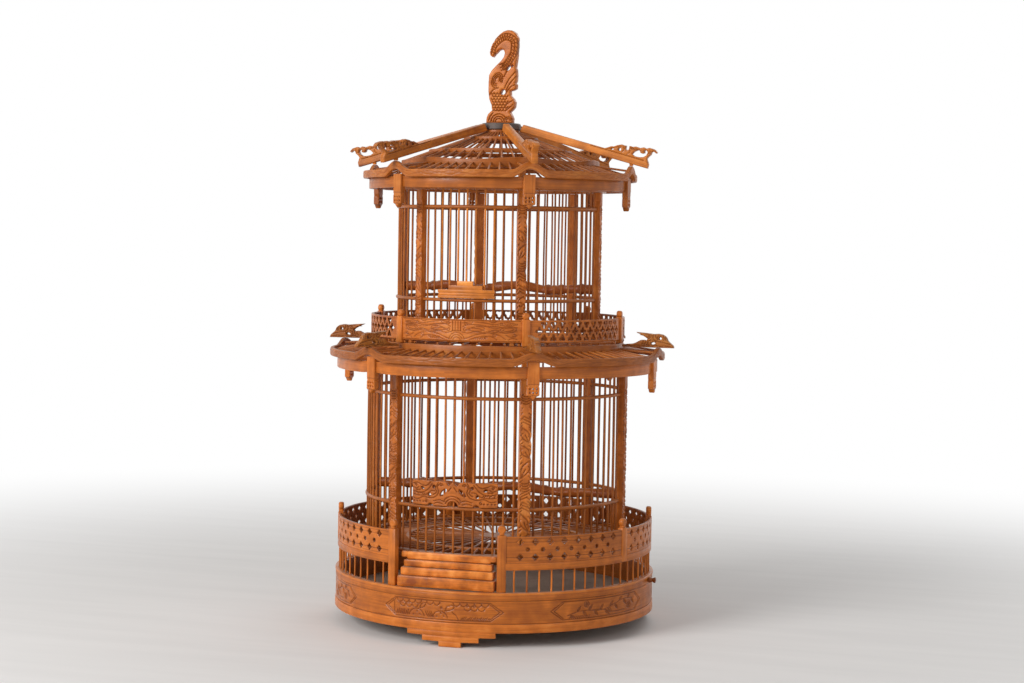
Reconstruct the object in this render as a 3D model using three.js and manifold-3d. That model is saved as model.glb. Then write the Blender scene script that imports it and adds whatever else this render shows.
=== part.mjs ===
// Two-storey bamboo bird cage on a round drum base, six bays to the storey.
// Millimetres, +Z up. The origin is the middle of the floor that the feet stand on, the stair faces -Y.
import * as THREE from 'three';
import { mergeVertices } from 'three/addons/utils/BufferGeometryUtils.js';
import Module from 'manifold-3d';

const wasm = await Module();
wasm.setup();

const degrees = Math.PI / 180;

// Sizes shared by the whole cage.
const bayCount = 6;
const facetsPerBay = 5;
const splintSides = 3;
const splintWidth = 3;
const seatGap = 0.3;
const slideGap = 0.3;
const bite = 0.6;
const cutOverrun = 4;
const weldDistance = 0.001;
const angleSlack = 0.001 * degrees;

// Drum base: foot hoop with three stepped feet, carved band, liner with ledge and rim.
const drumRadius = 194;
const drumWall = 7;
const footHeight = 17.5;
const footCount = 3;
const footTurn = 3 * degrees;
const footWall = 6;
const footTierWidths = [26, 67, 105];
const footHoopHeight = 10.5;
const bandHeight = 26;
const bandInset = 0.8;
const linerWall = 3;
const linerRimDrop = 0.5;
const ledgeWidth = 8;
const ledgeThickness = 3;
const ledgeRise = 11.5;
const trayThickness = 2.6;
const traySideGap = 1.2;

// Floor hoop of the cage, and the two pegs that lock it to the rim.
const floorHoopHeight = 9.1;
const pegRadius = 2.5;
const pegKnobRadius = 3.5;
const pegKnobLength = 9;
const pegSides = 8;

// Gallery round the lower storey.
const galleryInset = 3.5;
const galleryPanelWall = 2.8;
const galleryRailDepth = 6.5;
const galleryRailProud = 0.8;
const galleryBarHeight = 25;
const galleryRailHeight = 8.3;
const galleryPanelHeight = 30.4;
const galleryPostWidth = 10.4;
const galleryPostDepth = 7;
const galleryFrontSpread = 50.2 * degrees;
const galleryRearSpread = 36.5 * degrees;
const galleryPostsPerSide = 4;
const galleryGateHalf = 20.4 * degrees;
const galleryBarPitch = 4.45 * degrees;
const postCapHeight = 1.3;
const knobRadius = 5;
const knobHeight = 12;
const knobSides = 6;
const knobShares = [[0, 0], [0.6, 0], [1, 0.5], [0.6, 1], [0, 1]];

// Stair of four stacked boards, with a cheek on each side at floor level.
const stairSideRoom = 8.2;
const stairNarrowing = 5;
const stairInset = 8;
const stairGoing = 4;
const stairRises = [12.5, 9.5, 8, 9];
const cheekWidth = 7;
const cheekHeight = 7;
const cheekDepth = 5;

// Cage floor: three rings and spokes.
const floorThickness = 4;
const floorRingInset = 3;
const floorRingOutset = 8.2;
const middleRingInset = 50;
const middleRingWidth = 5;
const centreDiscRadius = 20;
const outerRingWidth = 3.6;
const spokeCount = 30;
const spokeWidth = 2.8;

// Lower storey.
const lowerHeight = 202.1;
const galleryWalk = 34.5;
const lowerBarCount = 13;
const barEndShare = 0.45;
const lowerPillarProud = 2.5;
const lowerPillarWidth = 13.5;
const lowerPillarDepth = 9;
const ringWidth = 5.4;
const ringHeight = 4;
const lowerRingRise = 49.5;
const lowerTopRingDrop = 25;

// Lower door: nine bars that slide through the upper rings, on a pierced plaque.
const doorBarWidth = 2.6;
const lowerDoorBars = 9;
const plaqueHalf = 19 * degrees;
const plaqueHeight = 28.8;
const plaqueThickness = 4.6;
const plaqueArchRadius = 8;
const plaqueEyeRadius = 3.6;
const plaqueEyeTurn = 7.5 * degrees;
const plaqueHoleSides = 8;
const doorBarReach = 16.7;

// Lower eave frame: wall plate, arms, king blocks, fascia and pendants.
const plateThickness = 4;
const lowerPlateInset = 4;
const plateWidth = 12;
const armWidth = 6;
const armHeight = 8;
const lowerFasciaProud = 0.5;
const fasciaWall = 3;
const fasciaDrop = 1.7;
const lowerFasciaHeight = 14;
const pendantWidth = 14;
const pendantThickness = 7;
const lowerPendantLength = 43.2;
const lowerPendantAbove = 6.3;
const pendantPoint = 5;
const kingWidth = 8;
const kingDepth = 7;
const kingHeight = 18.7;

// Lower roof: collar, rafters and eave strip with six raised corners.
const collarInset = 3;
const collarWall = 3;
const collarHeight = 14;
const lowerRaftersPerBay = 14;
const lowerEaveOutset = 9;
const eaveWidth = 5;
const eaveHeight = 8.8;
const lowerEaveDrop = 6.4;
const lowerEaveCornerRise = 7.6;
const eaveCornerSpan = 8 * degrees;
const eaveFacetShares = [-1, -0.9, -0.74, -0.4, 0, 0.4, 0.74, 0.9];
const rafterWidth = 2.8;

// Bird-head boards on the lower roof corners.
const headGap = 4;
const headReach = 63;
const headHeight = 18;
const headThickness = 7;
const headShares = [
  [0, 0], [1, 0], [0.98, 0.19], [0.89, 0.44], [0.87, 0.63], [0.8, 0.84], [0.7, 0.93], [0.61, 0.9],
  [0.27, 1], [0.33, 0.88], [0.42, 0.72], [0.49, 0.58], [0.47, 0.44], [0.36, 0.49], [0.31, 0.4], [0.2, 0.23],
  [0, 0.23],
];

// Balcony on the collar, with a solid carved panel in front.
const deckInset = 4.5;
const deckWidth = 12.5;
const deckThickness = 3.7;
const deckSpokeWidth = 5;
const deckSpokeTurn = 24 * degrees;
const balconyProud = 1;
const balconyWall = 3;
const balconyPanelHeight = 26;
const balconyPostWidth = 9.5;
const balconyPostDepth = 7;
const balconyPostHeight = 31;
const balconyKnobRadius = 4.3;
const balconyKnobHeight = 8;

// Upper storey.
const upperHeight = 175;
const storeyInset = 34;
const upperBarCount = 11;
const upperPillarProud = 2;
const upperPillarWidth = 11;
const upperPillarDepth = 8;
const upperRingRise = 44.6;
const upperTopRingDrop = 21.8;

// Upper door: a stepped block and seven bars.
const upperDoorBars = 7;
const upperBlockShares = [0.92, 0.54, 0.245];
const upperBlockHeights = [10, 5, 5];
const upperBlockThickness = 5.6;
const upperDoorBarBite = 0.6;

// Perches of gnarled cane.
const perchSides = 6;
const perchSteps = 12;
const lowerPerchRadius = 6.5;
const lowerPerchRise = 57.5;
const upperPerchRadius = 6.4;
const upperPerchRise = 58.5;
const perchWander = 5;
const perchEndGap = 0.6;
const perchBendShares = [
  [0, 0], [0, 0], [-0.9, 0.5], [0.2, -0.6], [0.8, 0.2], [-0.5, 0.7], [0.4, -0.3], [0, 0], [0, 0],
];

// Upper eave frame.
const upperPlateInset = 5;
const upperFasciaOutset = 36.5;
const upperFasciaDrop = 3;
const upperFasciaHeight = 13.4;
const upperPendantLength = 39;
const upperPendantAbove = 2.6;
const upperKingHeight = 21.4;

// Upper roof: band, two rings, crown, cone and skirt rafters, eave strip.
const roofBandInset = 2;
const roofBandWall = 3;
const roofBandHeight = 12.5;
const upperRaftersPerBay = 12;
const upperEaveOutset = 7.5;
const upperEaveDrop = 12.3;
const upperEaveCornerRise = 9.5;
const coneRaftersPerBay = 4;
const coneFoot = 8.6;
const coneRise = 37.4;
const roofRingShares = [0.335, 0.755];
const roofRingWidth = 4;
const roofRingHeight = 6;
const crownRadius = 23;
const crownWall = 9;
const crownHeight = 4.4;

// Ridge battens with dragon-head ends.
const battenWidth = 8;
const battenHeel = 9.75;
const battenOverhang = 20.7;
const battenPegWidth = 4;
const battenPegHeight = 2.4;
const battenCrest = 13;
const battenCrestShares = [
  [0.6, 0], [0.63, 0.5], [0.7, 0.95], [0.76, 0.7], [0.8, 1], [0.86, 0.72], [0.92, 0.62], [0.97, 0.95],
  [1.03, 0.8], [1.01, 0.5], [0.93, 0.38], [0.9, 0.16], [0.98, 0.12], [1, 0],
];

// Hub and swivelling hook.
const hubRadius = 24;
const hubHeight = 8;
const hubSides = 15;
const shankRadius = 3;
const shankSides = 8;
const nutRadius = 6;
const nutHeight = 4.6;
const hookWidth = 39;
const hookHeight = 112;
const hookThickness = 12;
const hookShares = [
  [-0.28, 0.712], [-0.36, 0.733], [-0.36, 0.788], [-0.26, 0.872], [-0.06, 0.955], [0.18, 1], [0.41, 0.983],
  [0.54, 0.922], [0.54, 0.76], [0.49, 0.58], [0.51, 0.426], [0.3, 0.348], [0.47, 0.217], [0.41, 0.147],
  [0.3, 0.106], [0.41, 0.05], [0.4, 0], [-0.46, 0], [-0.44, 0.078], [-0.26, 0.153], [-0.38, 0.273],
  [-0.4, 0.426], [-0.37, 0.543], [-0.06, 0.655], [0.11, 0.733], [0.1, 0.783], [-0.06, 0.788],
];

// Heights of the pieces as they stand on each other.
const bandBottom = footHeight + footHoopHeight + seatGap;
const bandTop = bandBottom + bandHeight;
const floorHoopBottom = bandTop + seatGap;
const floorHoopTop = floorHoopBottom + floorHoopHeight;
const galleryBottom = floorHoopTop + seatGap;
const galleryRailBottom = galleryBottom + galleryBarHeight;
const galleryRailTop = galleryRailBottom + galleryRailHeight;
const galleryTop = galleryRailTop + galleryPanelHeight;
const cageFloorBottom = galleryRailTop + seatGap;
const cageFloorTop = cageFloorBottom + floorThickness;
const lowerBottom = cageFloorTop + seatGap;
const lowerTop = lowerBottom + lowerHeight;
const lowerPlateBottom = lowerTop + seatGap;
const lowerPlateTop = lowerPlateBottom + plateThickness;
const collarBottom = lowerPlateTop + kingHeight + seatGap;
const collarTop = collarBottom + collarHeight;
const deckBottom = collarTop + seatGap;
const deckTop = deckBottom + deckThickness;
const upperBottom = deckTop + seatGap;
const upperTop = upperBottom + upperHeight;
const upperPlateBottom = upperTop + seatGap;
const upperPlateTop = upperPlateBottom + plateThickness;
const roofBandBottom = upperPlateTop + upperKingHeight + seatGap;
const roofBandTop = roofBandBottom + roofBandHeight;
const crownTop = roofBandBottom + coneFoot + coneRise + crownHeight / 2;
const hubBottom = crownTop + seatGap;
const hubTop = hubBottom + hubHeight;

const bayAngle = 2 * Math.PI / bayCount;
const facetAngle = bayAngle / facetsPerBay;
const drumInner = drumRadius - drumWall;
const linerOuter = drumInner - seatGap;
const linerInner = linerOuter - linerWall;

// Radii of the pieces, each taken from the one it stands beside or on.
const galleryRadius = drumRadius - galleryInset;
const galleryRailInner = galleryRadius - galleryRailDepth;
const stairFront = galleryRadius - stairInset;
const stairWidth = 2 * (galleryRadius * Math.sin(galleryGateHalf) - stairSideRoom);
const lowerBarCircle = galleryRadius - galleryWalk;
const lowerPillarCircle = lowerBarCircle + lowerPillarProud;
const floorRingInner = lowerBarCircle - floorRingInset;
const floorRingOuter = lowerBarCircle + floorRingOutset;
const middleRingRadius = lowerBarCircle - middleRingInset;
const lowerPlateInner = lowerBarCircle - lowerPlateInset;
const lowerPlateOuter = lowerPlateInner + plateWidth;
const lowerFasciaRadius = drumRadius + lowerFasciaProud;
const lowerEaveRadius = lowerFasciaRadius + lowerEaveOutset;
const collarRadius = lowerBarCircle - collarInset;
const headInner = collarRadius + headGap;
const balconyRadius = collarRadius + balconyProud;
const upperBarCircle = lowerBarCircle - storeyInset;
const upperPillarCircle = upperBarCircle + upperPillarProud;
const deckInner = upperBarCircle - deckInset;
const deckOuter = deckInner + deckWidth;
const upperPlateInner = upperBarCircle - upperPlateInset;
const upperPlateOuter = upperPlateInner + plateWidth;
const upperFasciaRadius = upperBarCircle + upperFasciaOutset;
const upperEaveRadius = upperFasciaRadius + upperEaveOutset;
const roofBandRadius = upperBarCircle - roofBandInset;
const lowerBarPitch = barPitch(lowerBarCount, lowerPillarWidth, lowerBarCircle);
const upperBarPitch = barPitch(upperBarCount, upperPillarWidth, upperBarCircle);

// Colours and gloss of the finishes.
const lacquer = { color: 0xb0622c, roughness: 0.38, metalness: 0 };
const carvedLacquer = { color: 0x9c5224, roughness: 0.45, metalness: 0 };
const splintLacquer = { color: 0xa65a2a, roughness: 0.4, metalness: 0 };
const cane = { color: 0x8f4a22, roughness: 0.5, metalness: 0 };
const trayBoard = { color: 0x6b6056, roughness: 0.85, metalness: 0 };
const blackHorn = { color: 0x2a2624, roughness: 0.45, metalness: 0 };

const cage = new THREE.Group();

// Angle between the bars that share out the room between two pillars.
function barPitch(count, pillarWidth, circle) {
  return (bayAngle - 2 * Math.asin(pillarWidth / 2 / circle)) / (count - 1 + 2 * barEndShare);
}

// A point at a radius, an angle from the front towards the right, and a height.
function at(radius, angle, height) {
  return new THREE.Vector3(radius * Math.sin(angle), -radius * Math.cos(angle), height);
}

// Angles of a bent strip's corners: its two ends and every facet corner between them.
function facetAngles(start, end) {
  const angles = [start];
  for (let step = Math.floor(start / facetAngle) + 1; step * facetAngle < end - angleSlack; step += 1) {
    if (step * facetAngle > start + angleSlack) {
      angles.push(step * facetAngle);
    }
  }
  angles.push(end);
  return angles;
}

// Radius, at one angle, of the faceted line whose corners lie at the given radius.
function facetRadius(radius, angle) {
  const offset = angle - (Math.floor(angle / facetAngle) + 1 / 2) * facetAngle;
  return radius * Math.cos(facetAngle / 2) / Math.cos(offset);
}

function flatPoints(radius, angles) {
  return angles.map((angle) => new THREE.Vector2(radius * Math.sin(angle), -radius * Math.cos(angle)));
}

function extrudeUp(shape, bottom, top) {
  const geometry = new THREE.ExtrudeGeometry(shape, { depth: top - bottom, bevelEnabled: false });
  return geometry.translate(0, 0, bottom);
}

// A strip bent round the axis between two angles.
function bentStrip(inner, outer, bottom, top, start, end) {
  const angles = facetAngles(start, end);
  const points = flatPoints(outer, angles).concat(flatPoints(inner, angles).reverse());
  return extrudeUp(new THREE.Shape(points), bottom, top);
}

// A closed hoop whose corners lie at the given angles.
function hoopAt(angles, inner, outer, bottom, top) {
  const shape = new THREE.Shape(flatPoints(outer, angles));
  shape.holes.push(new THREE.Path(flatPoints(inner, angles)));
  return extrudeUp(shape, bottom, top);
}

function evenAngles(count) {
  return Array.from({ length: count }, (_, index) => index * 2 * Math.PI / count);
}

function disc(radius) {
  return new THREE.Shape(flatPoints(radius, evenAngles(bayCount * facetsPerBay)));
}

function hoop(inner, outer, bottom, top) {
  return hoopAt(evenAngles(bayCount * facetsPerBay), inner, outer, bottom, top);
}

// A straight splint between two points.
function splint(from, to, width = splintWidth, sides = splintSides) {
  const along = new THREE.Vector3().subVectors(to, from);
  const geometry = new THREE.CylinderGeometry(width / 2, width / 2, along.length(), sides);
  const turn = new THREE.Quaternion().setFromUnitVectors(new THREE.Vector3(0, 1, 0), along.normalize());
  const middle = new THREE.Vector3().addVectors(from, to).multiplyScalar(1 / 2);
  return geometry.applyQuaternion(turn).translate(middle.x, middle.y, middle.z);
}

// An upright block at a radius, square to the axis.
function block(width, depth, bottom, top, radius, angle) {
  const near = depth / 2 - radius;
  const far = -depth / 2 - radius;
  const shape = new THREE.Shape([
    new THREE.Vector2(width / 2, far),
    new THREE.Vector2(width / 2, near),
    new THREE.Vector2(-width / 2, near),
    new THREE.Vector2(-width / 2, far),
  ]);
  return extrudeUp(shape, bottom, top).rotateZ(angle);
}

// A board standing in the plane through the axis, from an outline of radius and height.
function radialBoard(points, thickness, angle) {
  const shape = new THREE.Shape(points.map(([radius, height]) => new THREE.Vector2(radius, height)));
  const geometry = new THREE.ExtrudeGeometry(shape, { depth: thickness, bevelEnabled: false });
  return geometry.translate(0, 0, -thickness / 2).rotateX(Math.PI / 2).rotateZ(angle - Math.PI / 2);
}

function solid(geometry) {
  const bare = geometry.clone();
  bare.deleteAttribute('normal');
  bare.deleteAttribute('uv');
  const welded = mergeVertices(bare, weldDistance);
  return new wasm.Manifold(new wasm.Mesh({
    numProp: 3,
    vertProperties: new Float32Array(welded.attributes.position.array),
    triVerts: new Uint32Array(welded.index.array),
  }));
}

function join(geometries) {
  return geometries.map(solid).reduce((whole, piece) => whole.add(piece));
}

function cut(whole, geometries) {
  return geometries.map(solid).reduce((rest, piece) => rest.subtract(piece), whole);
}

function geometryOf(shape) {
  const { vertProperties, triVerts } = shape.simplify(weldDistance).getMesh();
  const geometry = new THREE.BufferGeometry();
  geometry.setAttribute('position', new THREE.BufferAttribute(vertProperties, 3));
  geometry.setIndex(new THREE.BufferAttribute(triVerts, 1));
  const flat = geometry.toNonIndexed();
  flat.computeVertexNormals();
  return flat;
}

function addPiece(name, shape, finish, turn = 0) {
  const geometry = shape.isBufferGeometry ? shape : geometryOf(shape);
  const mesh = new THREE.Mesh(geometry, new THREE.MeshStandardMaterial(finish));
  mesh.name = name;
  mesh.rotation.z = turn;
  cage.add(mesh);
  return mesh;
}

// Angle of bay 0 at the front, or of the corner after it.
function bayTurn(bay) {
  return bay * bayAngle;
}

function cornerTurn(corner) {
  return (corner + 1 / 2) * bayAngle;
}

function corners() {
  return Array.from({ length: bayCount }, (_, index) => cornerTurn(index));
}

// Angles of an even row centred on the front.
function rowAngles(count, pitch) {
  return Array.from({ length: count }, (_, index) => (index - (count - 1) / 2) * pitch);
}

function addDrum() {
  const tierHeight = footHeight / footTierWidths.length;
  const feet = [];
  for (let foot = 0; foot < footCount; foot += 1) {
    const middle = footTurn + foot * 2 * Math.PI / footCount;
    footTierWidths.forEach((width, tier) => {
      const half = Math.asin(width / 2 / drumRadius);
      const bottom = tier * tierHeight;
      const wallInner = drumRadius - (drumWall + footWall) / 2;
      const wallOuter = wallInner + footWall;
      const top = bottom + tierHeight + bite;
      feet.push(bentStrip(wallInner, wallOuter, bottom, top, middle - half, middle + half));
    });
  }
  const footHoop = hoop(drumInner, drumRadius, footHeight, footHeight + footHoopHeight);
  addPiece('drum_foot_hoop', join([footHoop, ...feet]), lacquer);
  addPiece('drum_band', hoop(drumInner, drumRadius - bandInset, bandBottom, bandTop), carvedLacquer);

  const rimTop = floorHoopTop - linerRimDrop;
  const ledgeTop = footHeight + ledgeRise + ledgeThickness;
  const wall = hoop(linerInner, linerOuter, footHeight, rimTop);
  const ledge = hoop(linerInner - ledgeWidth, linerInner + bite, ledgeTop - ledgeThickness, ledgeTop);
  addPiece('drum_liner', cut(join([wall, ledge]), pegHoles()), lacquer);

  const trayBottom = ledgeTop + seatGap;
  const tray = extrudeUp(disc(linerInner - traySideGap), trayBottom, trayBottom + trayThickness);
  addPiece('droppings_tray', tray, trayBoard);
}

const pegHeight = (floorHoopBottom + floorHoopTop) / 2;

function pegHoles() {
  const reach = drumRadius + cutOverrun;
  const width = 2 * (pegRadius + slideGap);
  return [1, -1].map((side) => splint(
    new THREE.Vector3(side * (linerInner - cutOverrun), 0, pegHeight),
    new THREE.Vector3(side * reach, 0, pegHeight),
    width,
    pegSides,
  ));
}

function addFloorHoop() {
  const floorHoop = hoop(drumInner, drumRadius, floorHoopBottom, floorHoopTop);
  addPiece('floor_hoop', cut(solid(floorHoop), pegHoles()), lacquer);
  const knobStart = drumRadius + seatGap;
  [['lock_peg_right', 1], ['lock_peg_left', -1]].forEach(([name, side]) => {
    const shaft = splint(
      new THREE.Vector3(side * linerInner, 0, pegHeight),
      new THREE.Vector3(side * (knobStart + bite), 0, pegHeight),
      2 * pegRadius,
      pegSides,
    );
    const knob = splint(
      new THREE.Vector3(side * knobStart, 0, pegHeight),
      new THREE.Vector3(side * (knobStart + pegKnobLength), 0, pegHeight),
      2 * pegKnobRadius,
      pegSides,
    );
    addPiece(name, join([shaft, knob]), blackHorn);
  });
}

// A turned knob standing on a post.
function knob(radius, height, bottom, circle, angle) {
  const profile = knobShares.map(([out, up]) => new THREE.Vector2(out * radius, up * height));
  const geometry = new THREE.LatheGeometry(profile, knobSides).rotateX(Math.PI / 2);
  const place = at(circle, angle, bottom);
  return geometry.translate(place.x, place.y, place.z);
}

function galleryPostAngles() {
  const second = galleryGateHalf + galleryFrontSpread;
  const others = Array.from({ length: galleryPostsPerSide - 1 }, (_, post) => second + post * galleryRearSpread);
  return [galleryGateHalf, ...others];
}

function addGallery() {
  const postCircle = galleryRadius - galleryPostDepth / 2 + galleryRailProud;
  const postTop = galleryTop + postCapHeight;
  const panelInner = galleryRadius - galleryPanelWall;
  const gapAngle = seatGap / 2 / galleryRadius;
  [['gallery_right', 1], ['gallery_left', -1]].forEach(([name, side]) => {
    const start = side > 0 ? galleryGateHalf : -Math.PI + gapAngle;
    const end = side > 0 ? Math.PI - gapAngle : -galleryGateHalf;
    const railOuter = galleryRadius + galleryRailProud;
    const pieces = [
      bentStrip(galleryRailInner, railOuter, galleryRailBottom, galleryRailTop, start, end),
      bentStrip(panelInner, galleryRadius, galleryRailTop - bite, galleryTop, start, end),
    ];
    const posts = galleryPostAngles();
    posts.forEach((angle) => {
      const turn = side * angle;
      pieces.push(block(galleryPostWidth, galleryPostDepth, galleryBottom, postTop, postCircle, turn));
      pieces.push(knob(knobRadius, knobHeight, postTop - bite, postCircle, turn));
    });
    const barReach = Math.PI - galleryBarPitch / 2;
    const postHalf = (galleryPostWidth + splintWidth) / galleryRadius / 2;
    for (let angle = galleryGateHalf + galleryBarPitch; angle < barReach; angle += galleryBarPitch) {
      if (posts.every((post) => Math.abs(angle - post) > postHalf)) {
        const circle = facetRadius(galleryRadius - galleryPanelWall / 2, side * angle);
        const foot = at(circle, side * angle, galleryBottom);
        pieces.push(splint(foot, at(circle, side * angle, galleryRailBottom + bite)));
      }
    }
    addPiece(name, join(pieces), lacquer);
  });
}

function addStair() {
  const pieces = [];
  let bottom = galleryBottom;
  const back = -(floorRingOuter + seatGap);
  stairRises.forEach((rise, step) => {
    const front = -(stairFront - step * stairGoing);
    const top = bottom + rise;
    const sunk = step === 0 ? bottom : bottom - bite;
    const board = new THREE.BoxGeometry(stairWidth - step * stairNarrowing, back - front, top - sunk);
    pieces.push(board.translate(0, (back + front) / 2, (top + sunk) / 2));
    bottom = top;
  });
  const lastStep = stairRises.length - 1;
  const cheekStart = (stairWidth - lastStep * stairNarrowing) / 2 - bite;
  [1, -1].forEach((side) => {
    const cheek = new THREE.BoxGeometry(cheekWidth + bite, cheekDepth, cheekHeight);
    const front = -(stairFront - lastStep * stairGoing);
    const middle = side * (cheekStart + (cheekWidth + bite) / 2);
    pieces.push(cheek.translate(middle, front + cheekDepth / 2, bottom - cheekHeight / 2));
  });
  addPiece('stair', join(pieces), lacquer);
}

// Windows of the floor between two radii, one between each spoke and the next.
function floorWindows(inner, outer, spokes) {
  const half = spokeWidth / 2;
  return spokes.slice(1).map((next, index) => {
    const corner = (radius, angle, side) => {
      const turned = angle + side * Math.asin(half / radius);
      return new THREE.Vector2(radius * Math.sin(turned), -radius * Math.cos(turned));
    };
    const last = spokes[index];
    return new THREE.Path([
      corner(inner, last, 1),
      corner(inner, next, -1),
      corner(outer, next, -1),
      corner(outer, last, 1),
    ]);
  });
}

function addCageFloor() {
  const outerEdge = galleryRadius - galleryPanelWall - seatGap;
  const outerInner = outerEdge - outerRingWidth;
  const gateEdge = galleryGateHalf + galleryPostWidth / galleryRadius;
  const middleInner = middleRingRadius - middleRingWidth / 2;
  const edgeAngles = facetAngles(gateEdge, 2 * Math.PI - gateEdge);
  const outline = edgeAngles.flatMap((angle) => flatPoints(facetRadius(outerEdge, angle), [angle]));
  const gateLine = flatPoints(floorRingOuter, facetAngles(-gateEdge, gateEdge));
  const shape = new THREE.Shape(outline.concat(gateLine));
  const spokeAngles = (count) => [...evenAngles(count), 2 * Math.PI];
  const gateSpoke = gateEdge + spokeWidth / floorRingOuter;
  const pastGate = (angle) => angle > gateSpoke && angle < 2 * Math.PI - gateSpoke;
  const outerSpokes = spokeAngles(spokeCount).filter(pastGate);
  shape.holes.push(
    ...floorWindows(centreDiscRadius, middleInner, spokeAngles(spokeCount / 2)),
    ...floorWindows(middleInner + middleRingWidth, floorRingInner, spokeAngles(spokeCount)),
    ...floorWindows(floorRingOuter, outerInner, [gateSpoke, ...outerSpokes, 2 * Math.PI - gateSpoke]),
  );
  const floor = extrudeUp(shape, cageFloorBottom, cageFloorTop);
  addPiece('cage_floor', cut(solid(floor), galleryNotches()), splintLacquer);
}

// Notches that let the outer ring of the floor pass the gallery posts.
function galleryNotches() {
  const postCircle = galleryRadius - galleryPostDepth / 2 + galleryRailProud;
  const width = galleryPostWidth + 2 * seatGap;
  const depth = galleryPostDepth + 2 * seatGap;
  const notches = [];
  const bottom = cageFloorBottom - cutOverrun;
  const top = cageFloorTop + cutOverrun;
  [1, -1].forEach((side) => {
    galleryPostAngles().forEach((angle) => {
      notches.push(block(width, depth, bottom, top, postCircle, side * angle));
    });
  });
  return notches;
}

// One bay of bars and two rings. Bars of the door stop below the lower ring and leave guide holes above.
function grille(storey, doorAngles) {
  const inner = storey.circle - ringWidth / 2;
  const end = bayAngle / 2 - Math.asin((storey.pillarWidth / 2 + seatGap) / inner);
  const outer = inner + ringWidth;
  const pieces = [
    bentStrip(inner, outer, storey.ringBottom, storey.ringBottom + ringHeight, -end, end),
    bentStrip(inner, outer, storey.topRingBottom, storey.topRingBottom + ringHeight, -end, end),
  ];
  rowAngles(storey.barCount, storey.barPitch).forEach((angle) => {
    const circle = facetRadius(storey.circle, angle);
    const inDoor = doorAngles.some((door) => Math.abs(door - angle) < storey.barPitch / 2);
    const top = inDoor ? storey.ringBottom + ringHeight / 2 : storey.top;
    pieces.push(splint(at(circle, angle, storey.bottom), at(circle, angle, top)));
  });
  const holes = guideHoles(storey, doorAngles, storey.topRingBottom, storey.topRingBottom + ringHeight);
  return cut(join(pieces), holes);
}

// Square holes that the bars of a door slide through.
function guideHoles(storey, doorAngles, bottom, top) {
  const width = doorBarWidth + 2 * slideGap;
  return doorAngles.map((angle) => block(
    width,
    width,
    bottom - cutOverrun,
    top + cutOverrun,
    facetRadius(storey.circle, angle),
    angle,
  ));
}

function doorBars(storey, doorAngles, bottom, top) {
  return doorAngles.map((angle) => block(
    doorBarWidth,
    doorBarWidth,
    bottom,
    top,
    facetRadius(storey.circle, angle),
    angle,
  ));
}

const lowerStorey = {
  circle: lowerBarCircle,
  barCount: lowerBarCount,
  barPitch: lowerBarPitch,
  pillarWidth: lowerPillarWidth,
  bottom: lowerBottom,
  top: lowerTop,
  ringBottom: lowerBottom + lowerRingRise,
  topRingBottom: lowerTop - lowerTopRingDrop,
};
const upperStorey = {
  circle: upperBarCircle,
  barCount: upperBarCount,
  barPitch: upperBarPitch,
  pillarWidth: upperPillarWidth,
  bottom: upperBottom,
  top: upperTop,
  ringBottom: upperBottom + upperRingRise,
  topRingBottom: upperTop - upperTopRingDrop,
};
const lowerDoorAngles = rowAngles(lowerDoorBars, lowerBarPitch);
const upperDoorAngles = rowAngles(upperDoorBars, upperBarPitch);

function addStorey(prefix, storey, doorAngles, pillarDepth, pillarCircle) {
  const plain = grille(storey, []);
  const front = grille(storey, doorAngles);
  for (let bay = 0; bay < bayCount; bay += 1) {
    addPiece(`${prefix}_grille_${bay + 1}`, bay === 0 ? front : plain, splintLacquer, bayTurn(bay));
  }
  for (let corner = 0; corner < bayCount; corner += 1) {
    const pillar = block(storey.pillarWidth, pillarDepth, storey.bottom, storey.top, pillarCircle, 0);
    addPiece(`${prefix}_pillar_${corner + 1}`, pillar, carvedLacquer, cornerTurn(corner));
  }
}

// Back of a plaque or block, let into the bars of its door, which stand a little further in between the corners.
function doorBack(storey) {
  return storey.circle * Math.cos(facetAngle / 2) + doorBarWidth / 2 - bite;
}

function addLowerDoor() {
  const bottom = lowerStorey.ringBottom + ringHeight + seatGap;
  const inner = doorBack(lowerStorey);
  const outer = inner + plaqueThickness;
  const plaque = bentStrip(inner, outer, bottom, bottom + plaqueHeight, -plaqueHalf, plaqueHalf);
  const bars = doorBars(lowerStorey, lowerDoorAngles, bottom, lowerPlateTop + doorBarReach);
  const drill = (angle, height, radius) => splint(
    at(lowerBarCircle, angle, height),
    at(outer + cutOverrun, angle, height),
    2 * radius,
    plaqueHoleSides,
  );
  const eyes = [1, -1].map((side) => drill(side * plaqueEyeTurn, bottom + plaqueHeight / 2, plaqueEyeRadius));
  const pierced = cut(solid(plaque), [drill(0, bottom, plaqueArchRadius), ...eyes]);
  addPiece('lower_door', pierced.add(join(bars)), carvedLacquer);
}

function addUpperDoor() {
  let bottom = upperStorey.ringBottom + ringHeight + seatGap;
  const barTop = upperPlateBottom + upperDoorBarBite;
  const pieces = doorBars(upperStorey, upperDoorAngles, bottom, barTop);
  const inner = doorBack(upperStorey);
  upperBlockShares.forEach((share, tier) => {
    const half = share * upperDoorBars * upperBarPitch / 2;
    const top = bottom + upperBlockHeights[tier];
    const sunk = tier === 0 ? bottom : bottom - bite;
    pieces.push(bentStrip(inner, inner + upperBlockThickness, sunk, top, -half, half));
    bottom = top;
  });
  addPiece('upper_door', join(pieces), carvedLacquer);
}

// A perch between the inner faces of two opposite pillars.
function addPerch(name, radius, pillarFace, height) {
  const reach = pillarFace - perchEndGap;
  const lastPoint = perchBendShares.length - 1;
  const points = perchBendShares.map(([across, up], index) => new THREE.Vector3(
    reach * (2 * index / lastPoint - 1),
    across * perchWander,
    height + up * perchWander,
  ));
  const section = new THREE.Shape(flatPoints(radius, evenAngles(perchSides)));
  const path = new THREE.CatmullRomCurve3(points);
  addPiece(name, new THREE.ExtrudeGeometry(section, { steps: perchSteps, extrudePath: path }), cane);
}

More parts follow.
